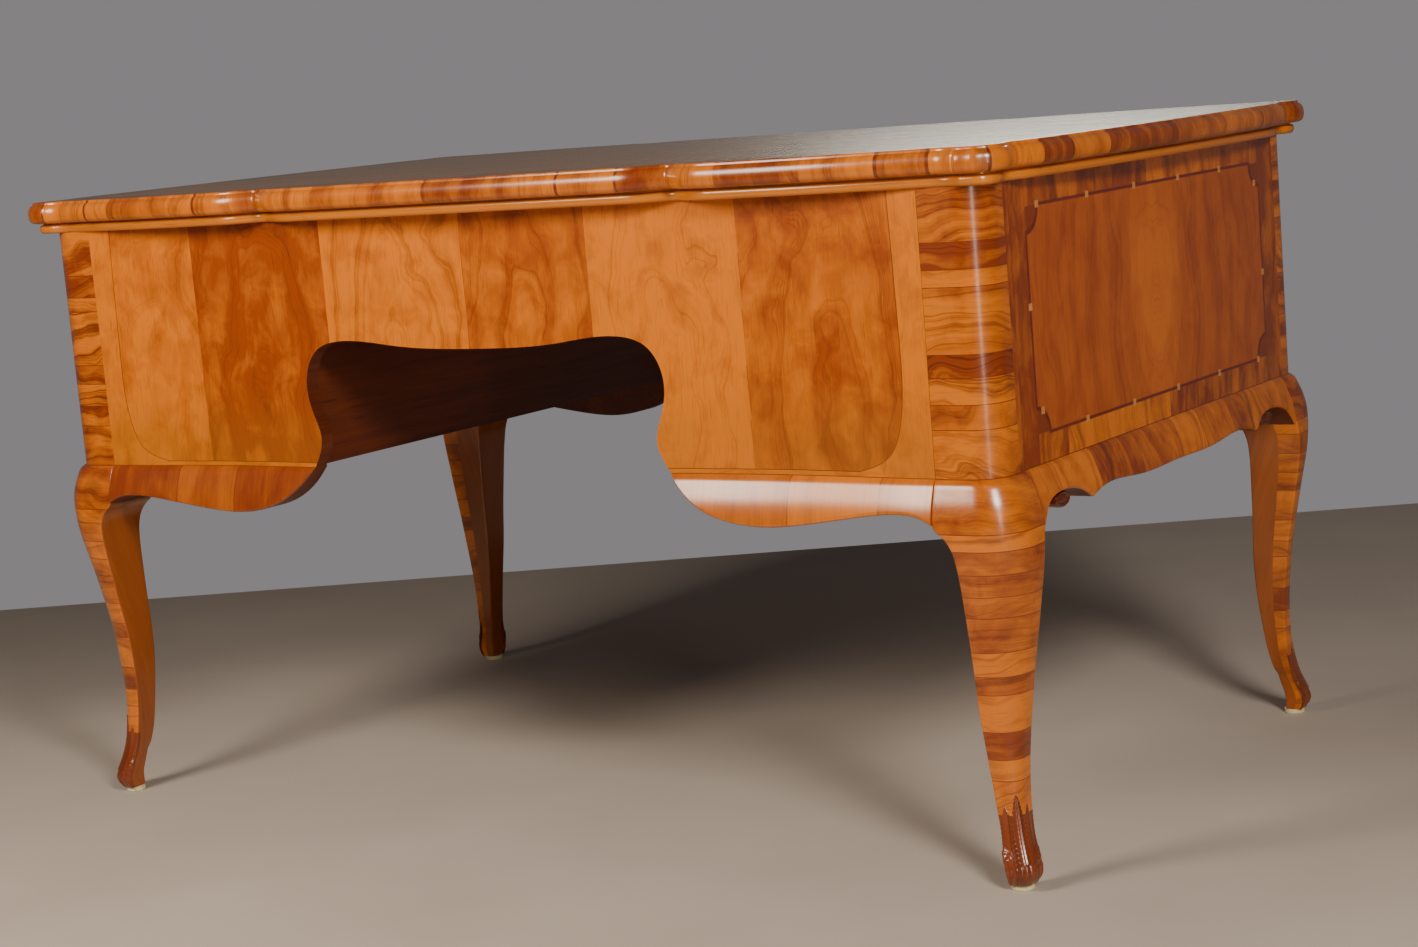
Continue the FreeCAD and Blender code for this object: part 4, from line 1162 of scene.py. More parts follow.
@lru_cache(maxsize=None)
def leg_curves(bottom, bulge, radius, post_length, depth):
    """Curves of the outer and of the inner faces of a leg, over its height."""
    outer = [(share * bottom, out * bulge, r * radius) for share, out, r in LEG_OUTER_SHARES]
    inner = [(share * bottom, x * post_length, y * depth) for share, x, y in LEG_INNER_SHARES]
    curves = (smooth_curve(outer, 300), smooth_curve(inner, 300, ((-1.0, 0.0, 0.0), (-1.0, 0.0, 0.0))))
    return [curve[np.argsort(curve[:, 0])] for curve in curves]


# Below its knee, over a quarter of its height, a leg comes to stand this much further out
# along the desk, and this much further in across it.
SETTLED_OUT = 0.001
SETTLED_IN = 0.007


def leg_section(z):
    """Inner and outer faces of the front left leg at a height, and its corner's rounding."""
    size = sizes()
    bottom = case_bottom()
    outer, inner = leg_curves(
        bottom, size.knee_bulge, size.knee_radius, size.post_length, size.post_depth)
    bulge, radius = (np.interp(z, outer[:, 0], outer[:, i]) for i in (1, 2))
    thick_x, thick_y = (np.interp(z, inner[:, 0], inner[:, i]) for i in (1, 2))
    settled = min(max((bottom - z) / (0.25 * bottom), 0.0), 1.0)
    x_out = size.half_length + bulge + settled * SETTLED_OUT
    y_out = size.half_depth + bulge - settled * SETTLED_IN
    return size.half_length - thick_x, size.half_depth - thick_y, x_out, y_out, radius


ARRIS_STEPS = 4
CORNER_STEPS = 20
RUN_STEPS = 5
# The veneer of a leg lies between these points of a ring: it laps a little onto the inner
# face that looks along the desk's depth.
FIRST_OUTER = ARRIS_STEPS + RUN_STEPS - 2
LAST_OUTER = 2 * (ARRIS_STEPS + RUN_STEPS) + CORNER_STEPS + RUN_STEPS + ARRIS_STEPS // 2

# The rounding of the sharp edges of a post, and of the leg under it.
POST_ARRIS = 0.0006
LEG_ARRIS = 0.0022

# Where a leg starts above the floor, and how many levels the leg and its post have.
LEG_START = 0.006
LEG_LEVELS = 190
POST_LEVELS = 40

# The strip beside a side panel that laps onto its posts: width and look. Then the painted
# shade on a leg's inner faces up in the hollows of the rails: where it darkens, and its tones.
POST_STRIP = 0.011
POST_STRIP_LOOK = (0.85, 0.31, 0.45)
HOLLOW_SHADE_HEIGHTS = (0.375, 0.405)
HOLLOW_SHADE_TONES = (0.30, 1.6)


def leg_ring(z, inset=0.0):
    """One level of the leg: points round it, from the inner corner."""
    x_in, y_in, x_out, y_out, radius = leg_section(z)
    arris = POST_ARRIS if z >= case_bottom() - MM else LEG_ARRIS
    near = inset + arris
    corners = (
        (x_in + near, y_in + near, arris, 180.0, ARRIS_STEPS),
        (x_out - near, y_in + near, arris, 270.0, ARRIS_STEPS),
        (x_out - radius, y_out - radius, radius - inset, 0.0, CORNER_STEPS),
        (x_in + near, y_out - near, arris, 90.0, ARRIS_STEPS),
    )
    arcs = []
    for x, y, r, start, steps in corners:
        angles = [math.radians(start + 90.0 * k / steps) for k in range(steps + 1)]
        arcs.append([(x + r * math.cos(angle), y + r * math.sin(angle)) for angle in angles])
    points = []
    for i, arc in enumerate(arcs):
        (x, y), (far_x, far_y) = arc[-1], arcs[(i + 1) % 4][0]
        points += arc
        for share in (k / RUN_STEPS for k in range(1, RUN_STEPS)):
            points.append((x + (far_x - x) * share, y + (far_y - y) * share))
    return points


def round_corner(ring):
    """Distance of each point of a ring from the middle of the rounded outer corner."""
    along = travelled(ring + ring[:1])
    return along - along[2 * (ARRIS_STEPS + RUN_STEPS) + CORNER_STEPS // 2]


class DESK_OT_legs(bpy.types.Operator):
    """Corner posts that run on as cabriole legs, cross-banded"""

    bl_idname = "desk.legs"
    bl_label = "Legs"

    def execute(self, context):
        bottom, top = case_bottom(), case_top()
        heights = set(np.linspace(LEG_START, bottom, LEG_LEVELS))
        heights |= set(np.linspace(bottom, top, POST_LEVELS))
        heights = sorted(heights | set(glue_lines([z for z, tone in CORNER_PIECES[:-1]])))
        # Low down the leg draws in, to lie within the carving of the foot.
        rings = [leg_ring(z, 0.0020 * fade(0.062 - z, 0.010)) for z in heights]
        around = [round_corner(ring) for ring in rings]
        for end_name, end, side_name, side in CORNERS:
            name = "leg_%s_%s" % (side_name, end_name)
            rows = [[(end * x, side * y, z) for x, y in ring] for ring, z in zip(rings, heights)]
            part = skin(rows, lambda i, k: (heights[i], around[i][k]), self.looks(end, side, heights, rings))
            piece = new_piece(name + "_veneered", part)
            dress(piece, [band_veneer(), leg_walnut()], nodes=[name], angle=27.0)
        return {"FINISHED"}

    def looks(self, end, side, heights, rings):
        random = np.random.default_rng(5 + end + 3 * side)
        seen = end > 0 and side < 0
        tones = []
        for z, tone in reversed(CORNER_PIECES):
            own = tone if seen else min(max(tone + random.uniform(-0.3, 0.3), 0.0), 1.0)
            tones.append((own, random.random(), 0.95 if z > case_bottom() else 0.62))
        joints = [z for z, tone in reversed(CORNER_PIECES[:-1])]
        looks = [band_look((a + b) / 2.0, joints, tones) for a, b in zip(heights, heights[1:])]
        strip_x = sizes().half_length - POST_STRIP
        strip_y = side_half() + POST_STRIP

        def look_at(i, k):
            z, ring = heights[i], rings[i]
            x, y = ring[k % len(ring)]
            far_y = max(y, ring[(k + 1) % len(ring)][1])
            if z >= case_bottom() and x > strip_x and far_y <= strip_y:
                return 0, POST_STRIP_LOOK, True
            if FIRST_OUTER <= k < LAST_OUTER:
                return 0, looks[i], False
            # The inner faces are plain, with painted shade darkening them high up in the hollows of the
            # rails.
            return 1, (float(np.interp(z, HOLLOW_SHADE_HEIGHTS, HOLLOW_SHADE_TONES)), 0.5, 0.6), True

        return look_at


# Deeper than any carving: where a leaf or a curl isn't.
NOTHING = -9.0

# A curl at each side of a foot: its middle as distance round the corner and height, its
# radius, and how far it stands out. Then how deep the plain inner faces lie. Millimetres.
CURL_PLACE = (20.0, 37.0)
CURL_RADIUS = 9.5
CURL_HEIGHT = 3.2
PLAIN_DEPTH = 2.7

# The carved foot: its lowest and highest level, how many levels it has and points at each,
# the share of the way round to each side that is carved, and its look.
FOOT_LOW = 0.0062
FOOT_HIGH = 0.112
FOOT_LEVELS = 96
FOOT_POINTS = 168
CARVED_SHARE = 0.27
FOOT_LOOK = (0.35, 0.4, 0.8)


def leaf_relief(leaf, s, z):
    """How far a carved leaf stands out at a place on the foot, in millimetres, or nothing."""
    rise = (z - leaf.foot[1]) / (leaf.tip[1] - leaf.foot[1])
    if not 0.0 <= rise <= 1.0:
        return NOTHING
    middle = leaf.foot[0] + (leaf.tip[0] - leaf.foot[0]) * rise
    half = leaf.width * (1.0 - rise ** 2.2) ** 0.6 * (0.80 + 0.25 * math.sin(math.pi * rise))
    half *= 1.0 + 0.07 * math.cos(z * 1.35)
    off = abs(s - middle) / max(half, 0.2)
    if off >= 1.0:
        return NOTHING
    crown = math.sqrt(1.0 - off * off)
    midrib = 0.45 * math.exp(-(off / 0.14) ** 2)
    veins = 0.22 * math.cos((z - 5.0 * off) * 1.35) * off
    return leaf.height * (0.45 + 0.55 * (1.0 - rise)) * crown - midrib + veins


def curl_relief(s, z):
    """How far the nearer curl stands out, with its winding groove."""
    side = math.copysign(1.0, s)
    across, up = s - side * CURL_PLACE[0], z - CURL_PLACE[1]
    r = math.hypot(across, up)
    if r >= CURL_RADIUS:
        return NOTHING
    groove = 0.8 * (0.5 + 0.5 * math.cos(side * math.atan2(up, across) + r * 1.5))
    return CURL_HEIGHT * math.sqrt(1.0 - (r / CURL_RADIUS) ** 2) - groove


def foot_relief(s, z):
    """Carving of a foot: leaves that rise from toes, and a curl at each side. Millimetres."""
    ground = -1.1 + 1.3 * fade(84.0 - z, 5.0) - 1.0 * fade(56.0 - z, 8.0)
    toes = 0.0
    if z < 48.0 and abs(s) < 40.0:
        depth = math.sin(math.pi * fade(48.0 - z, 44.0)) ** 0.7
        toes = 1.7 * depth * abs(math.cos(math.pi * s / 7.0)) ** 0.6
    leaves = max(leaf_relief(leaf, s, z) for leaf in FOOT_LEAVES)
    return max(ground, ground + toes, leaves, curl_relief(s, z))


def carved_ring(z):
    """Evenly spaced points round the foot from its outer corner, moved by the carving."""
    ring = leg_ring(z)
    around = round_corner(ring)
    closed = np.array(ring + ring[:1])
    total = around[-1] - around[0]
    spots = (np.arange(FOOT_POINTS) / FOOT_POINTS - 0.5) * total
    wrapped = (spots - around[0]) % total + around[0]
    x, y = (np.interp(wrapped, around, closed[:, axis]) for axis in (0, 1))
    ways = np.stack([np.roll(x, -1) - np.roll(x, 1), np.roll(y, -1) - np.roll(y, 1)], axis=1)
    ways /= np.linalg.norm(ways, axis=1)[:, None]
    relief = np.array([foot_relief(s / MM, z / MM) for s in spots]) * MM
    # The inner faces stay plain: there the carving runs inside the leg.
    relief = np.where(np.abs(spots) < CARVED_SHARE * total, relief, -PLAIN_DEPTH * MM)
    return list(zip(x + ways[:, 1] * relief, y - ways[:, 0] * relief)), spots


class DESK_OT_feet(bpy.types.Operator):
    """Leaves, curls and toes carved on the feet"""

    bl_idname = "desk.feet"
    bl_label = "Carved feet"

    def execute(self, context):
        heights = np.linspace(FOOT_LOW, FOOT_HIGH, FOOT_LEVELS)
        rings = [carved_ring(z) for z in heights]
        for end_name, end, side_name, side in CORNERS:
            rows = [[(end * x, side * y, z) for x, y in ring] for (ring, spots), z in zip(rings, heights)]
            part = skin(
                rows, lambda i, k: (rings[i][1][k % FOOT_POINTS], heights[i]),
                lambda i, k: (0, FOOT_LOOK, False))
            piece = new_piece("foot_%s_%s_carved" % (side_name, end_name), part)
            dress(piece, [carved_walnut()], angle=60.0)
        return {"FINISHED"}


# Side panels

# The inlaid field of a side panel: half its width, its foot and its head, and the radius of
# the quarter circles cut from its corners. Then the thickness of the panel.
FIELD_HALF = 0.314
FIELD_FOOT = 0.472
FIELD_HEAD = 0.710
NOTCH = 0.028
SIDE_THICK = 0.018

# Looks of a side panel: its field, the hollow corners, and the strips beside the posts.
FIELD_LOOK = (0.68, 0.3, 1.0)
NOTCH_LOOK = (1.15, 0.6, 0.3)
BACK_STRIP_LOOK = (0.88, 0.31, 0.45)
FRONT_STRIP_LOOK = (0.88, 0.77, 0.45)

# The string round the field: how far out from the field's edge its middle lies, its width
# and height, and the number and size of its light squares.
STRING_OFFSET = 0.0008
STRING = {"Width": 0.0046, "Proud": 0.0003, "Squares": 14, "Square": (0.0075, 0.0075, 0.0004)}


def side_field(grow=0.0):
    """The outline of a side field, with its hollow corners."""
    half, foot, head = FIELD_HALF + grow, FIELD_FOOT - grow, FIELD_HEAD + grow
    points = []
    for y, z, start in ((half, foot, 180), (half, head, 270), (-half, head, 360), (-half, foot, 90)):
        for angle in (math.radians(start - 90.0 * k / 12) for k in range(13)):
            points.append((y + NOTCH * math.cos(angle), z + NOTCH * math.sin(angle)))
    return points


def side_look(y, z):
    """The look of a side panel at a place: field, border piece, strip by the post, or glue."""
    if z < case_bottom() + GLUE_WIDTH:
        return 0, GLUE, upright()
    if holds(side_field(), y, z):
        return 1, FIELD_LOOK, lambda y, z: (abs(y), z)
    if abs(y) > FIELD_HALF:
        return 0, BACK_STRIP_LOOK if y < 0.0 else FRONT_STRIP_LOOK, upright()
    if FIELD_FOOT < z < FIELD_HEAD:
        return 0, NOTCH_LOOK, level
    border = UPPER_BORDER if z > FIELD_HEAD else LOWER_BORDER
    number = next(n for n, (end, tone) in enumerate(border) if y < end)
    return 0, (border[number][1], 0.11 + 0.19 * number, 0.5), upright()


def grown(name, points, edges, tree, values):
    """The mesh that a node tree grows from a seed mesh, with its named inputs set."""
    mesh = bpy.data.meshes.new(name)
    mesh.from_pydata(points, edges, [])
    seed = placed(name, mesh)
    modifier = seed.modifiers.new("grow", "NODES")
    modifier.node_group = tree
    for item in tree.interface.items_tree:
        if item.name in values:
            modifier[item.identifier] = values[item.name]
    graph = bpy.context.evaluated_depsgraph_get()
    result = bpy.data.meshes.new_from_object(seed.evaluated_get(graph))
    bpy.data.objects.remove(seed)
    return result


def new_tree(name, sockets):
    """A node tree with its inputs, and the outputs of its group input node."""
    tree = bpy.data.node_groups.new(name, "GeometryNodeTree")
    for label, kind in sockets:
        tree.interface.new_socket(label, in_out="INPUT", socket_type="NodeSocket" + kind)
    tree.interface.new_socket("Result", in_out="OUTPUT", socket_type="NodeSocketGeometry")
    return tree, add(tree, "NodeGroupInput").outputs


def repeated(tree, curve, count, thing, material):
    """Copies of a thing at even distances along a curve, made real and painted."""
    spots = add(tree, "GeometryNodeCurveToPoints", {"mode": "COUNT"}, {"Curve": curve, "Count": count})
    copies = add(tree, "GeometryNodeInstanceOnPoints", {}, {"Points": spots, "Instance": thing})
    copies = add(tree, "GeometryNodeRealizeInstances", {}, {"Geometry": copies})
    return add(tree, "GeometryNodeSetMaterial", {}, {"Geometry": copies, "Material": material})


def string_tree():
    """Nodes that lay a string along an outline, with light squares at even distances."""
    if "string_inlay" in bpy.data.node_groups:
        return bpy.data.node_groups["string_inlay"]
    tree, given = new_tree("string_inlay", (
        ("Outline", "Geometry"), ("Width", "Float"), ("Proud", "Float"), ("Squares", "Int"),
        ("Square", "Vector"), ("String wood", "Material"), ("Square wood", "Material")))
    path = add(tree, "GeometryNodeMeshToCurve", {}, {"Mesh": given["Outline"]})
    section = add(tree, "GeometryNodeCurvePrimitiveQuadrilateral", {}, {
        "Width": given["Width"], "Height": given["Proud"]})
    string = add(tree, "GeometryNodeCurveToMesh", {}, {"Curve": path, "Profile Curve": section})
    string = add(tree, "GeometryNodeSetMaterial", {}, {
        "Geometry": string, "Material": given["String wood"]})
    square = add(tree, "GeometryNodeMeshCube", {}, {"Size": given["Square"]})
    squares = repeated(tree, path, given["Squares"], square, given["Square wood"])
    joined = add(tree, "GeometryNodeJoinGeometry")
    tree.links.new(string.outputs[0], joined.inputs[0])
    tree.links.new(squares.outputs[0], joined.inputs[0])
    add(tree, "NodeGroupOutput", {}, {"Result": joined})
    return tree


class DESK_OT_side_panels(bpy.types.Operator):
    """Short sides: a bookmatched field, a string round it, and cross-banded borders"""

    bl_idname = "desk.side_panels"
    bl_label = "Side panels"

    def execute(self, context):
        for name, end in ENDS:
            self.panel(name, end)
            self.string(name, end)
        return {"FINISHED"}

    def panel(self, name, end):
        half, bottom, top = side_half(), case_bottom(), case_top()
        out = sizes().half_length
        field = side_field()
        lines = [field + field[:1], [(0.0, FIELD_FOOT), (0.0, FIELD_HEAD)]]
        lines.append([(-half, bottom + GLUE_WIDTH), (half, bottom + GLUE_WIDTH)])
        lines += [[(-FIELD_HALF, z), (FIELD_HALF, z)] for z in (FIELD_FOOT, FIELD_HEAD)]
        lines += [[(y, bottom), (y, top)] for y in (-FIELD_HALF, FIELD_HALF)]
        lines += [[(y, FIELD_HEAD), (y, top)] for y, tone in UPPER_BORDER[:-1]]
        lines += [[(y, bottom), (y, FIELD_FOOT)] for y, tone in LOWER_BORDER[:-1]]
        part = board(
            rectangle(-half, half, bottom, top), lambda y, z: (end * out, y, z),
            lambda y, z: (end * (out - SIDE_THICK), y, z), side_look, lines)
        piece = new_piece("side_panel_%s_veneered" % name, part)
        dress(piece, [band_veneer(), side_veneer()], nodes=["side_panel_" + name])

    def string(self, name, end):
        """A dark string with light squares, let in round the field and hardly proud of it."""
        points = [(y, z, 0.0) for y, z in side_field(STRING_OFFSET)]
        edges = [(k, (k + 1) % len(points)) for k in range(len(points))]
        woods = {"String wood": string_dark(), "Square wood": string_light()}
        mesh = grown("string_seed", points, edges, string_tree(), {**STRING, **woods})
        for vertex in mesh.vertices:
            y, z, proud = vertex.co
            vertex.co = (end * (sizes().half_length + proud), y, z)
        if end < 0:
            mesh.flip_normals()
        mesh.name = "stringing_" + name
        dress(placed("stringing_" + name, mesh), [])


# Where a rail scroll sits beside its leg: distance from the middle of the side, and height;
# how much longer it is than high; the points round it, and its look, dark with painted shade.
SCROLL_PLACE = (0.284, 0.3985)
SCROLL_STRETCH = 2.0
SCROLL_POINTS = 28
SHADED_SCROLL_LOOK = (1.15, 0.2, 0.8)

# Distance out from the case's side, and radius, from the back of a scroll to its eye.
SCROLL_PROFILE = (
    (-0.014, 0.0085), (0.004, 0.0090), (0.0075, 0.0086), (0.0090, 0.0074),
    (0.0084, 0.0058), (0.0072, 0.0048), (0.0084, 0.0036), (0.0094, 0.0018),
)


class DESK_OT_scrolls(bpy.types.Operator):
    """Small carved scrolls in the hollows where a side rail meets its legs"""

    bl_idname = "desk.scrolls"
    bl_label = "Rail scrolls"

    def execute(self, context):
        for name, end in ENDS:
            scrolls = [plain_skin(self.rows(end, side), SHADED_SCROLL_LOOK) for side in (-1, 1)]
            piece = new_piece("rail_scrolls_" + name, *scrolls)
            dress(piece, [carved_walnut()], angle=40.0)
        return {"FINISHED"}

    def rows(self, end, side):
        out, (y, z) = sizes().half_length, SCROLL_PLACE
        return [
            [(end * (out + reach), side * (y + SCROLL_STRETCH * radius * cos), z + radius * sin)
             for cos, sin in circle(SCROLL_POINTS)]
            for reach, radius in SCROLL_PROFILE]


# Top

# The edge of the top from underneath round to its surface: how far in, and the height.
TOP_PROFILE = (
    (0.040, 0.753), (0.010, 0.753), (0.006, 0.7535), (0.0028, 0.7552), (0.0008, 0.7585),
    (0.0, 0.7635), (0.0002, 0.7680), (0.0014, 0.7722), (0.0036, 0.7752), (0.0062, 0.7766),
    (0.0068, 0.7768), (0.0070, 0.7782), (0.0074, 0.7793), (0.0084, 0.7799), (0.0100, 0.7800),
)

# A moulding strip from the top board's underside round to the case: how far in from the
# top's edge, and the height above the case.
MOULDING_PROFILE = (
    (0.050, 0.0), (0.0170, 0.0), (0.0156, 0.0006), (0.0144, 0.0018), (0.0136, 0.0034),
    (0.0132, 0.0052), (0.0131, 0.0070), (0.0134, 0.0086), (0.0142, 0.0098), (0.0154, 0.0106),
    (0.0176, 0.0109), (0.0176, 0.0130), (0.050, 0.0130),
)

# The carved lobes on the ears of the long sides: where they start, how wide and how deep.
LOBE_START = 0.652
LOBE_WIDTH = 0.0165
LOBE_DEPTH = 0.0016
LOBES = 3

# Width of the cross-banded border of the top's surface, how far its joints are cut across
# it along each edge, and how many joints the border has on a long and on a short side.
TOP_BORDER = 0.085
BORDER_REACH = (0.055, 0.050)
BORDER_JOINTS = (9, 6)

# The look of the top's field, and the tones that the border's pieces take in turn.
TOP_LOOK = (0.35, 0.15, 0.8)
TOP_BORDER_TONES = (0.45, 0.75)


def lobe_inset(x, y):
    """How far in the top's edge lies between the lobes of its ears."""
    along = (abs(x) - LOBE_START) / LOBE_WIDTH
    if abs(y) < 0.9 * sizes().top_half_depth or not 0.0 < along < LOBES:
        return 0.0
    return LOBE_DEPTH * (1.0 - abs(math.sin(math.pi * along)) ** 0.8)


class DESK_OT_top(bpy.types.Operator):
    """Lobed top with a cross-banded rounded edge, and the strips under it"""

    bl_idname = "desk.top"
    bl_label = "Top"

    def execute(self, context):
        self.board()
        self.mouldings()
        return {"FINISHED"}

    def board(self):
        places, normals = top_outline()
        along = travelled(list(places) + [places[0]])
        heights = travelled(TOP_PROFILE)
        lobes = np.array([lobe_inset(x, y) for x, y in places])
        rows = []
        for inset, z in TOP_PROFILE:
            # The lobes fade out between 2 and 12 mm in from the edge.
            own = inset + lobes * fade(0.012 - inset, 0.010)
            rows.append([(x, y, z) for x, y in places - normals * own[:, None]])
        joints = band_joints(0.0, along[-1], shortest=0.035, longest=0.105, seed=71)[1:-1]
        tones = band_tones(len(joints) + 1, seed=72, tone=0.5, spread=1.0)
        looks = []
        for middle in (along[:-1] + along[1:]) / 2.0:
            near = min(abs(joint - middle) for joint in joints) < GLUE_WIDTH
            looks.append(FAINT_GLUE if near else tones[int(np.searchsorted(joints, middle))])
        edge = skin(
            rows, lambda i, k: (along[k], heights[i]), lambda i, k: (0, looks[k], False), capped=False)
        surface = self.flat([point[:2] for point in rows[-1]], TOP_PROFILE[-1][1], True)
        under = self.flat([point[:2] for point in rows[0]], TOP_PROFILE[0][1], False)
        piece = new_piece("top_board_veneered", edge, surface, under)
        dress(piece, [band_veneer(), top_veneer()], nodes=["top_board"], angle=40.0)

    def flat(self, ring, z, shown):
        """The surface of the top, quarter-matched in a cross-banded border, or its underside."""
        x_field = sizes().top_half_length - TOP_BORDER
        y_field = sizes().top_half_depth - TOP_BORDER
        x_joints = list(np.linspace(-x_field, x_field, BORDER_JOINTS[0]))
        y_joints = list(np.linspace(-y_field, y_field, BORDER_JOINTS[1]))
        field = rectangle(-x_field, x_field, -y_field, y_field)
        lines = [field + field[:1], [(-x_field, 0.0), (x_field, 0.0)], [(0.0, -y_field), (0.0, y_field)]]
        for way in (-1, 1):
            far_x, far_y = way * (x_field + BORDER_REACH[0]), way * (y_field + BORDER_REACH[1])
            lines += [[(x, way * y_field), (x, far_y)] for x in x_joints]
            lines += [[(way * x_field, y), (far_x, y)] for y in y_joints]

        def look_at(x, y):
            if abs(x) < x_field and abs(y) < y_field:
                return 1, TOP_LOOK, lambda x, y: (abs(y) - 0.1, abs(x))
            if abs(x) < x_field:
                number = int(np.searchsorted(x_joints, x))
                return 1, (TOP_BORDER_TONES[number % 2], 0.11 * number, 0.8), upright()
            number = int(np.searchsorted(y_joints, y))
            return 1, (TOP_BORDER_TONES[number % 2], 0.13 * number, 0.8), level

        flat, faces = filled(ring, lines if shown else [])
        part = Part([(x, y, z) for x, y in flat], [], [], [], [])
        for face in faces:
            lay(part, face, flat, look_at(*middle_of(face, flat)))
        return part

    def mouldings(self):
        """Four light strips, mitred, that follow the lobes of the top."""
        places, normals = top_outline()
        size = sizes()
        mitre = size.half_length - size.half_depth
        lengthwise = np.abs(places[:, 0]) - mitre < np.abs(places[:, 1])
        starts = [k for k in range(len(places)) if lengthwise[k] != lengthwise[k - 1]]
        for i, start in enumerate(starts):
            count = (starts[(i + 1) % len(starts)] - start) % len(places) + 1
            own = [(start + k) % len(places) for k in range(count)]
            self.strip(places[own], normals[own])

    def strip(self, places, normals):
        # The strip's middle says which side of the desk it belongs to.
        x, y = places[len(places) // 2]
        if abs(y) > 0.9 * abs(x):
            side = "front" if y > 0 else "back"
        else:
            side = "left" if x > 0 else "right"
        rows = []
        for place, normal in zip(places, normals):
            ring = [(*(place - normal * inset), case_top() + rise) for inset, rise in MOULDING_PROFILE]
            rows.append(ring)
        along = travelled(places)
        across = [rise - inset for inset, rise in MOULDING_PROFILE + MOULDING_PROFILE[:1]]
        look = (0.25, 0.5 if side in ("front", "right") else 0.4, 0.6)
        part = skin(rows, lambda i, k: (across[k], along[i]), lambda i, k: (0, look, False))
        piece = new_piece("moulding_" + side, part)
        dress(piece, [moulding_wood()], nodes=["top_moulding_" + side], angle=40.0)


# Drawers

# The border of a drawer front and the string inside it; and the keyhole, with how far it
# lies below the opening's upper edge.
FRONT_BORDER = 0.018
STRING_WIDTH = 0.0022
KEYHOLE_RADIUS = 0.0024
KEYHOLE_SLOT = (0.0013, 0.008)
KEYHOLE_DROP = 0.029

# Turned handle post, from its foot to its ball: radius, and distance out from the front.
POST_PROFILE = (
    (14.0, -2.0), (14.0, 0.7), (13.5, 1.4), (12.9, 1.6), (11.4, 1.6), (10.8, 1.9), (10.2, 2.7),
    (9.0, 3.4), (7.2, 3.8), (6.0, 4.3), (5.2, 5.0), (4.4, 6.2), (3.9, 7.6), (4.0, 8.9), (4.9, 9.6),
    (5.0, 10.1), (4.4, 10.6), (4.9, 12.0), (6.3, 14.0), (6.9, 16.0), (7.0, 17.0), (6.7, 19.0),
    (5.6, 21.2), (3.9, 22.8), (2.3, 23.6), (2.1, 24.1), (1.7, 24.7), (0.6, 25.1),
)
HANDLE_HALF_SPAN = 0.034
HANDLE_STANDOFF = 0.017

# The ring of small balls round a post: its radius, their number and radius, and how far
# they lie out from the front.
BEADS = {"Circle": 0.0122, "Count": 24, "Ball": 0.0011}
BEAD_STANDOFF = 0.0018

# The hanging bail, from its pin to its middle: distance along, height, radius. Millimetres.
BAIL_PATH = (
    (29.0, 0.0, 2.2), (33.0, 0.0, 2.2), (35.0, 0.0, 3.0), (42.0, 0.0, 3.0), (45.0, -0.8, 3.0),
    (47.2, -3.0, 3.0), (48.0, -6.0, 3.0), (48.0, -14.0, 3.0), (48.0, -22.0, 3.1),
    (46.9, -27.4, 3.2), (43.9, -31.9, 3.3), (39.4, -34.9, 3.4), (34.0, -36.0, 3.4),
    (24.0, -36.0, 3.3), (17.0, -36.0, 3.0), (16.0, -36.0, 4.3), (14.6, -36.0, 4.6),
    (13.2, -36.0, 4.3), (12.2, -36.0, 3.2), (9.0, -36.0, 3.9), (4.0, -36.0, 4.6), (0.0, -36.0, 4.8),
)
BAIL_POINTS = 20

# The escutcheon from its rim to its keyhole: share of the outline, and distance out from
# the front in millimetres. Then its half width and half height, its middle's height under
# the keyhole's, how far out the keyhole's edge starts and ends, and the share of the outline
# from which the back lies flat.
ESCUTCHEON_PROFILE = (
    (1.0, 0.0), (1.0, 1.0), (0.96, 1.6), (0.86, 1.6), (0.80, 1.0), (0.72, 1.0), (0.66, 1.5))
ESCUTCHEON_HALF = (0.011, 0.017)
ESCUTCHEON_DROP = 0.002
KEYHOLE_EDGE = (0.0014, 0.0002)
FLAT_BACK_SHARE = 0.9
OVAL_STEPS = 48

# The lock's plate: half width, height and thickness, how far it lies below the opening's
# upper edge and how deep in the wood; the rows of its screws; and a screw's head, as radius
# and height in millimetres.
LOCK_HALF = 0.022
LOCK_HEIGHT = 0.030
LOCK_PLATE = 0.0012
LOCK_DROP = 0.014
LOCK_DEPTH = 0.006
SCREW_INSET = 0.004
SCREW_PROFILE = ((2.2, 0.0), (2.2, -0.3), (1.6, -0.9), (0.2, -1.1))


def keyhole(x, z, steps):
    """The outline of a keyhole: a circle with a slot under it."""
    half, deep = KEYHOLE_SLOT
    start = math.asin(half / KEYHOLE_RADIUS)
    points = [(x - half, z - deep), (x + half, z - deep)]
    for k in range(steps + 1):
        angle = -math.pi / 2.0 + start + (2.0 * math.pi - 2.0 * start) * k / steps
        points.append((x + KEYHOLE_RADIUS * math.cos(angle), z + KEYHOLE_RADIUS * math.sin(angle)))
    return points


def front_places(name):
    """The x of a drawer front's middle, and the heights of its keyhole and of its handle."""
    low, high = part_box("drawer_%s_front" % name)
    return (low.x + high.x) / 2.0, high.z + DRAWER_GAP - KEYHOLE_DROP, (low.z + high.z) / 2.0


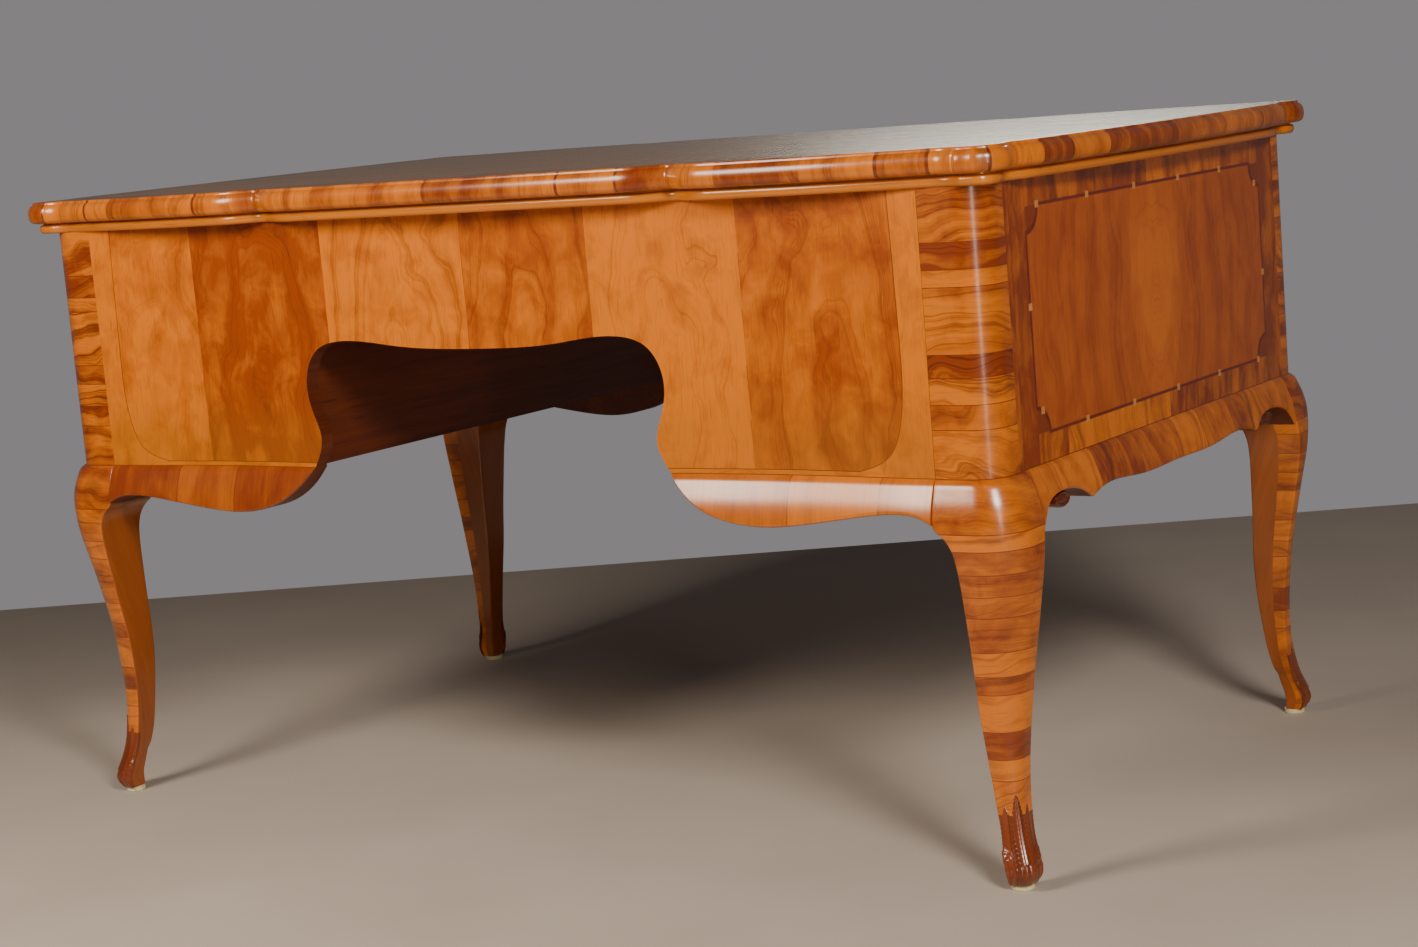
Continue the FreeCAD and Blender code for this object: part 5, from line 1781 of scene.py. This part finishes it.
class DESK_OT_drawers(bpy.types.Operator):
    """Veneered drawer fronts with a string and a border, and beech drawer boxes"""

    bl_idname = "desk.drawers"
    bl_label = "Drawers"

    def execute(self, context):
        for number, name in enumerate(DRAWERS):
            self.front(name, number)
            repaint("drawer_%s_box" % name, drawer_beech())
            repaint("drawer_%s_bottom" % name, drawer_beech_cross())
        return {"FINISHED"}

    def front(self, name, number):
        low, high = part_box("drawer_%s_front" % name)
        middle, keyhole_height, handle_height = front_places(name)
        outline, field, string = (
            rectangle(low.x + inset, high.x - inset, low.z + inset, high.z - inset)
            for inset in (0.0, FRONT_BORDER, FRONT_BORDER - STRING_WIDTH))
        joints = band_joints(low.x, high.x, shortest=0.05, longest=0.11, seed=60 + number)[1:-1]
        tones = band_tones(len(joints) + 3, seed=80 + number, tone=0.45, spread=0.8)
        lines = [field + field[:1], string + string[:1]]
        lines += [[(x, low.z - MM), (x, high.z + MM)] for x in glue_lines(joints) + [middle]]
        lines += [[corner, near] for corner, near in zip(outline, string)]

        def look_at(x, z):
            if holds(field, x, z):
                way = 1.0 if x > middle else -1.0
                return 0, (0.35, 0.2 + 0.1 * number, 0.9), upright(middle, way)
            if holds(string, x, z):
                return 2, GLUE, level
            if min(x - low.x, high.x - x) < min(z - low.z, high.z - z):
                return 1, tones[-1 if x > middle else -2], level
            return 1, band_look(x, joints, tones), upright()

        hole = keyhole(middle, keyhole_height, steps=24)
        part = long_board(outline, 1, look_at, lines, [hole], hidden=3)
        piece = new_piece("drawer_%s_front_veneered" % name, part)
        dress(piece, [face_veneer(), band_veneer(), string_dark(), drawer_beech()],
              body="drawer_" + name, nodes=["drawer_%s_front" % name])


def turned(profile, x, y, z, steps):
    """A turned shape on an axis that points out of the desk's front."""
    return plain_skin([
        [(x + radius * MM * cos, y + out * MM, z + radius * MM * sin) for cos, sin in circle(steps)]
        for radius, out in profile])


def bead_tree():
    """Nodes that set small balls round a circle."""
    if "bead_ring" in bpy.data.node_groups:
        return bpy.data.node_groups["bead_ring"]
    tree, given = new_tree("bead_ring", (
        ("Seed", "Geometry"), ("Circle", "Float"), ("Count", "Int"), ("Ball", "Float"),
        ("Metal", "Material")))
    path = add(tree, "GeometryNodeCurvePrimitiveCircle", {}, {"Resolution": 96, "Radius": given["Circle"]})
    ball = add(tree, "GeometryNodeMeshUVSphere", {}, {"Segments": 8, "Rings": 6, "Radius": given["Ball"]})
    balls = repeated(tree, path, given["Count"], ball, given["Metal"])
    add(tree, "NodeGroupOutput", {}, {"Result": balls})
    return tree


class DESK_OT_brasses(bpy.types.Operator):
    """Turned handle posts with beaded plates, escutcheons, lock plates and hanging bails"""

    bl_idname = "desk.brasses"
    bl_label = "Brasses"

    def execute(self, context):
        beads = grown("bead_seed", [(0.0, 0.0, 0.0)], [], bead_tree(), {**BEADS, "Metal": aged_brass()})
        for name in DRAWERS:
            self.fittings(name, beads)
            self.bail(name)
        return {"FINISHED"}

    def fittings(self, name, beads):
        middle, keyhole_height, handle_height = front_places(name)
        y = long_face(middle)
        parts = []
        for x in (middle - HANDLE_HALF_SPAN, middle + HANDLE_HALF_SPAN):
            parts.append(turned(POST_PROFILE, x, y, handle_height, steps=48))
            parts.append(self.bead_ring(beads, x, y + BEAD_STANDOFF, handle_height))
        parts.append(self.escutcheon(middle, keyhole_height))
        parts += self.lock(middle, keyhole_height + KEYHOLE_DROP - LOCK_DROP)
        piece = new_piece("drawer_%s_brasses" % name, *parts)
        dress(piece, [aged_brass()], body="drawer_" + name,
              nodes=["drawer_%s_fittings" % name], angle=35.0)

    def bead_ring(self, beads, x, y, z):
        """The small balls, set round a place on a drawer front."""
        faces = [list(polygon.vertices) for polygon in beads.polygons]
        places = [(x + vertex.co.x, y + vertex.co.z, z + vertex.co.y) for vertex in beads.vertices]
        grain = [[(0.0, 0.0)] * len(face) for face in faces]
        return Part(places, faces, grain, [GLUE] * len(faces), [0] * len(faces))

    def escutcheon(self, middle, height):
        """A moulded oval plate with a raised rim, pierced by the keyhole."""
        centre = height - ESCUTCHEON_DROP
        rows = [self.oval(middle, centre, share, out * MM) for share, out in ESCUTCHEON_PROFILE]
        hole = keyhole(middle, height, steps=OVAL_STEPS - 3)
        hole.sort(key=lambda p: math.atan2(p[1] - centre, p[0] - middle) % (2.0 * math.pi))
        y = long_face(middle)
        rows += [[(x, y + out, z) for x, z in hole] for out in KEYHOLE_EDGE]
        rows += [self.oval(middle, centre, FLAT_BACK_SHARE, 0.0), rows[0]]
        return plain_skin(rows, capped=False)

    def oval(self, middle, height, share, out):
        half, tall = (share * reach for reach in ESCUTCHEON_HALF)
        places = [(middle + half * cos, height + tall * sin) for cos, sin in circle(OVAL_STEPS)]
        return [(x, long_face(x) + out, z) for x, z in places]

    def lock(self, middle, high):
        """The lock's plate at the back of the front, and its four screws."""
        back = long_face(middle) - sizes().panel
        corners = rectangle(middle - LOCK_HALF, middle + LOCK_HALF, high - LOCK_HEIGHT, high)
        plate = [[(x, y, z) for x, z in corners] for y in (back + LOCK_DEPTH, back - LOCK_PLATE)]
        inset = SCREW_INSET
        screws = rectangle(middle - LOCK_HALF + inset, middle + LOCK_HALF - inset,
                           high - LOCK_HEIGHT + inset, high - inset)
        return [plain_skin(plate)] + [
            turned(SCREW_PROFILE, x, back - LOCK_PLATE + 0.1 * MM, z, steps=16) for x, z in screws]

    def bail(self, name):
        """The bail as it hangs: a bent rod that swells to a turned middle."""
        middle, keyhole_height, handle_height = front_places(name)
        y = long_face(middle) + HANDLE_STANDOFF
        half = [np.array(point) for point in BAIL_PATH]
        path = half[:-1] + [point * (-1.0, 1.0, 1.0) for point in reversed(half)]
        rows = []
        for i, (along, down, radius) in enumerate(path):
            way = path[min(i + 1, len(path) - 1)] - path[max(i - 1, 0)]
            across, up = np.array([-way[1], way[0]]) / math.hypot(way[0], way[1]) * radius
            rows.append([
                (middle + (along + across * cos) * MM, y + radius * sin * MM,
                 handle_height + (down + up * cos) * MM)
                for cos, sin in circle(BAIL_POINTS)])
        piece = new_piece("handle_%s_bail" % name, plain_skin(rows))
        dress(piece, [aged_brass()], body="handle_" + name,
              nodes=["drawer_%s_handle" % name], angle=40.0)


# Carcase

class DESK_OT_carcase(bpy.types.Operator):
    """Finish of the inner walls, floors, strips and blocks"""

    bl_idname = "desk.carcase"
    bl_label = "Carcase"

    def execute(self, context):
        for node in ("inner_wall_left", "inner_wall_right", "kneehole_ceiling"):
            repaint(node, wall_walnut())
        for node in ("pedestal_bottom_left", "pedestal_bottom_right", "drawer_runners",
                     "drawer_guides", "drawer_kickers", "drawer_stops", "glue_blocks"):
            repaint(node, carcase_pine())
        repaint("glides", glide_nylon())
        return {"FINISHED"}


# Stage

# The photograph's viewpoint, worked out from points on the desk. Metres, degrees, and the
# lens in millimetres on a sensor 36 mm wide.
CAMERA_PLACE = (1.9350, -2.7954, 0.87095)
CAMERA_YAW = 34.155
CAMERA_PITCH = -8.461
CAMERA_ROLL = -4.753
LENS = 67.82
SENSOR = 36.0

# The floor ends where it meets the wall in the photograph.
FLOOR_CORNERS = ((-7.01, -2.66, 0.0), (-1.76, -11.17, 0.0), (10.67, -3.49, 0.0), (5.42, 5.02, 0.0))

# The oval lamps: place, what they look at, width, height, watts, colour.
DESK_MIDDLE = (0.15, -0.2, 0.5)
LAMPS = {
    "key": ((-0.59, -1.96, 1.54), DESK_MIDDLE, 0.78, 0.86, 36.0, "#FFF4E6"),
    "side": ((3.06, -2.38, 2.4), DESK_MIDDLE, 1.0, 0.8, 104.0, "#FFF8F0"),
    "strip": ((2.75, -2.13, 1.0), (0.65, -0.4, 0.6), 0.28, 2.1, 18.0, "#FFF0DE"),
    "behind": ((-1.0, 3.2, 2.2), (0.0, 0.2, 0.5), 1.35, 1.15, 28.0, "#FFFFFF"),
}

# The surround's colour, and how much weaker it is where it lights and where it is reflected.
SURROUND = "#858284"
DIFFUSE_LOSS = 0.80
GLOSSY_LOSS = 0.50


def soft_light(name, place, target, width, height, power, colour):
    light = bpy.data.lights.new(name, "AREA")
    light.shape = "ELLIPSE"
    light.size = width
    light.size_y = height
    light.energy = power
    light.color = linear(colour)[:3]
    lamp = placed(name, light)
    lamp.location = place
    lamp.rotation_euler = (Vector(target) - Vector(place)).to_track_quat("-Z", "Y").to_euler()
    lamp.visible_camera = False
    return lamp


def studio_world():
    """A plain grey surround: full strength where it is seen, weaker where it lights."""
    world = bpy.data.worlds.new("studio")
    world.use_nodes = True
    tree = world.node_tree
    rays = add(tree, "ShaderNodeLightPath").outputs
    strength = maths(tree, "MULTIPLY_ADD", rays["Is Diffuse Ray"], -DIFFUSE_LOSS, 1.0)
    strength = maths(tree, "MULTIPLY_ADD", rays["Is Glossy Ray"], -GLOSSY_LOSS, strength)
    feed(tree, tree.nodes["Background"], {"Strength": strength, "Color": SURROUND})
    return world


def photo_camera():
    """The camera at the photograph's viewpoint, with its heading, tilt and roll."""
    camera = bpy.data.cameras.new("photo_camera")
    camera.lens = LENS
    camera.sensor_width = SENSOR
    camera.sensor_fit = "HORIZONTAL"
    camera.clip_start = 0.05
    yaw, pitch, roll = (math.radians(a) for a in (CAMERA_YAW, CAMERA_PITCH, CAMERA_ROLL))
    forward = Vector((-math.sin(yaw) * math.cos(pitch), math.cos(yaw) * math.cos(pitch), math.sin(pitch)))
    level_right = Vector((math.cos(yaw), math.sin(yaw), 0.0))
    straight_up = level_right.cross(forward)
    right = level_right * math.cos(roll) + straight_up * math.sin(roll)
    up = straight_up * math.cos(roll) - level_right * math.sin(roll)
    matrix = Matrix((right, up, -forward)).transposed().to_4x4()
    matrix.translation = Vector(CAMERA_PLACE)
    viewer = placed("photo_camera", camera)
    viewer.matrix_world = matrix
    return viewer


class DESK_OT_stage(bpy.types.Operator):
    """Pale floor, soft lights and the photograph's camera"""

    bl_idname = "desk.stage"
    bl_label = "Stage"

    def execute(self, context):
        mesh = bpy.data.meshes.new("studio_floor")
        mesh.from_pydata(FLOOR_CORNERS, [], [(0, 1, 2, 3)])
        mesh.materials.append(floor_paint())
        floor = placed("studio_floor", mesh)
        lamps = {name: soft_light(name, *facts) for name, facts in LAMPS.items()}
        # The lamp behind shows the drawers, and leaves the desk's shadow on the floor alone.
        spared = bpy.data.collections.new("spared_from_behind")
        spared.objects.link(floor)
        spared.collection_objects[0].light_linking.link_state = "EXCLUDE"
        lamps["behind"].light_linking.receiver_collection = spared
        context.scene.world = studio_world()
        context.scene.camera = photo_camera()
        return {"FINISHED"}


class DESK_PT_panel(bpy.types.Panel):
    """Buttons that build the desk piece by piece"""

    bl_idname = "DESK_PT_panel"
    bl_label = "Kneehole desk"
    bl_space_type = "VIEW_3D"
    bl_region_type = "UI"
    bl_category = "Desk"

    def draw(self, context):
        for operator in OPERATORS:
            self.layout.operator(operator.bl_idname)
        for group in (sizes(), colours()):
            for name in group.__annotations__:
                self.layout.prop(group, name)


OPERATORS = (
    DESK_OT_back_face, DESK_OT_front_frame, DESK_OT_rails, DESK_OT_legs, DESK_OT_feet,
    DESK_OT_side_panels, DESK_OT_scrolls, DESK_OT_top, DESK_OT_drawers, DESK_OT_brasses,
    DESK_OT_carcase, DESK_OT_stage,
)
CLASSES = (DeskSizes, DeskColours) + OPERATORS + (DESK_PT_panel,)


def register():
    for item in CLASSES:
        bpy.utils.register_class(item)
    bpy.types.Scene.desk_sizes = bpy.props.PointerProperty(type=DeskSizes)
    bpy.types.Scene.desk_colours = bpy.props.PointerProperty(type=DeskColours)


def unregister():
    del bpy.types.Scene.desk_colours
    del bpy.types.Scene.desk_sizes
    for item in reversed(CLASSES):
        bpy.utils.unregister_class(item)


def main():
    register()
    desk = bpy.ops.desk
    desk.back_face()
    desk.front_frame()
    desk.rails()
    desk.legs()
    desk.feet()
    desk.side_panels()
    desk.scrolls()
    desk.top()
    desk.drawers()
    desk.brasses()
    desk.carcase()
    desk.stage()


if __name__ == "__main__":
    main()
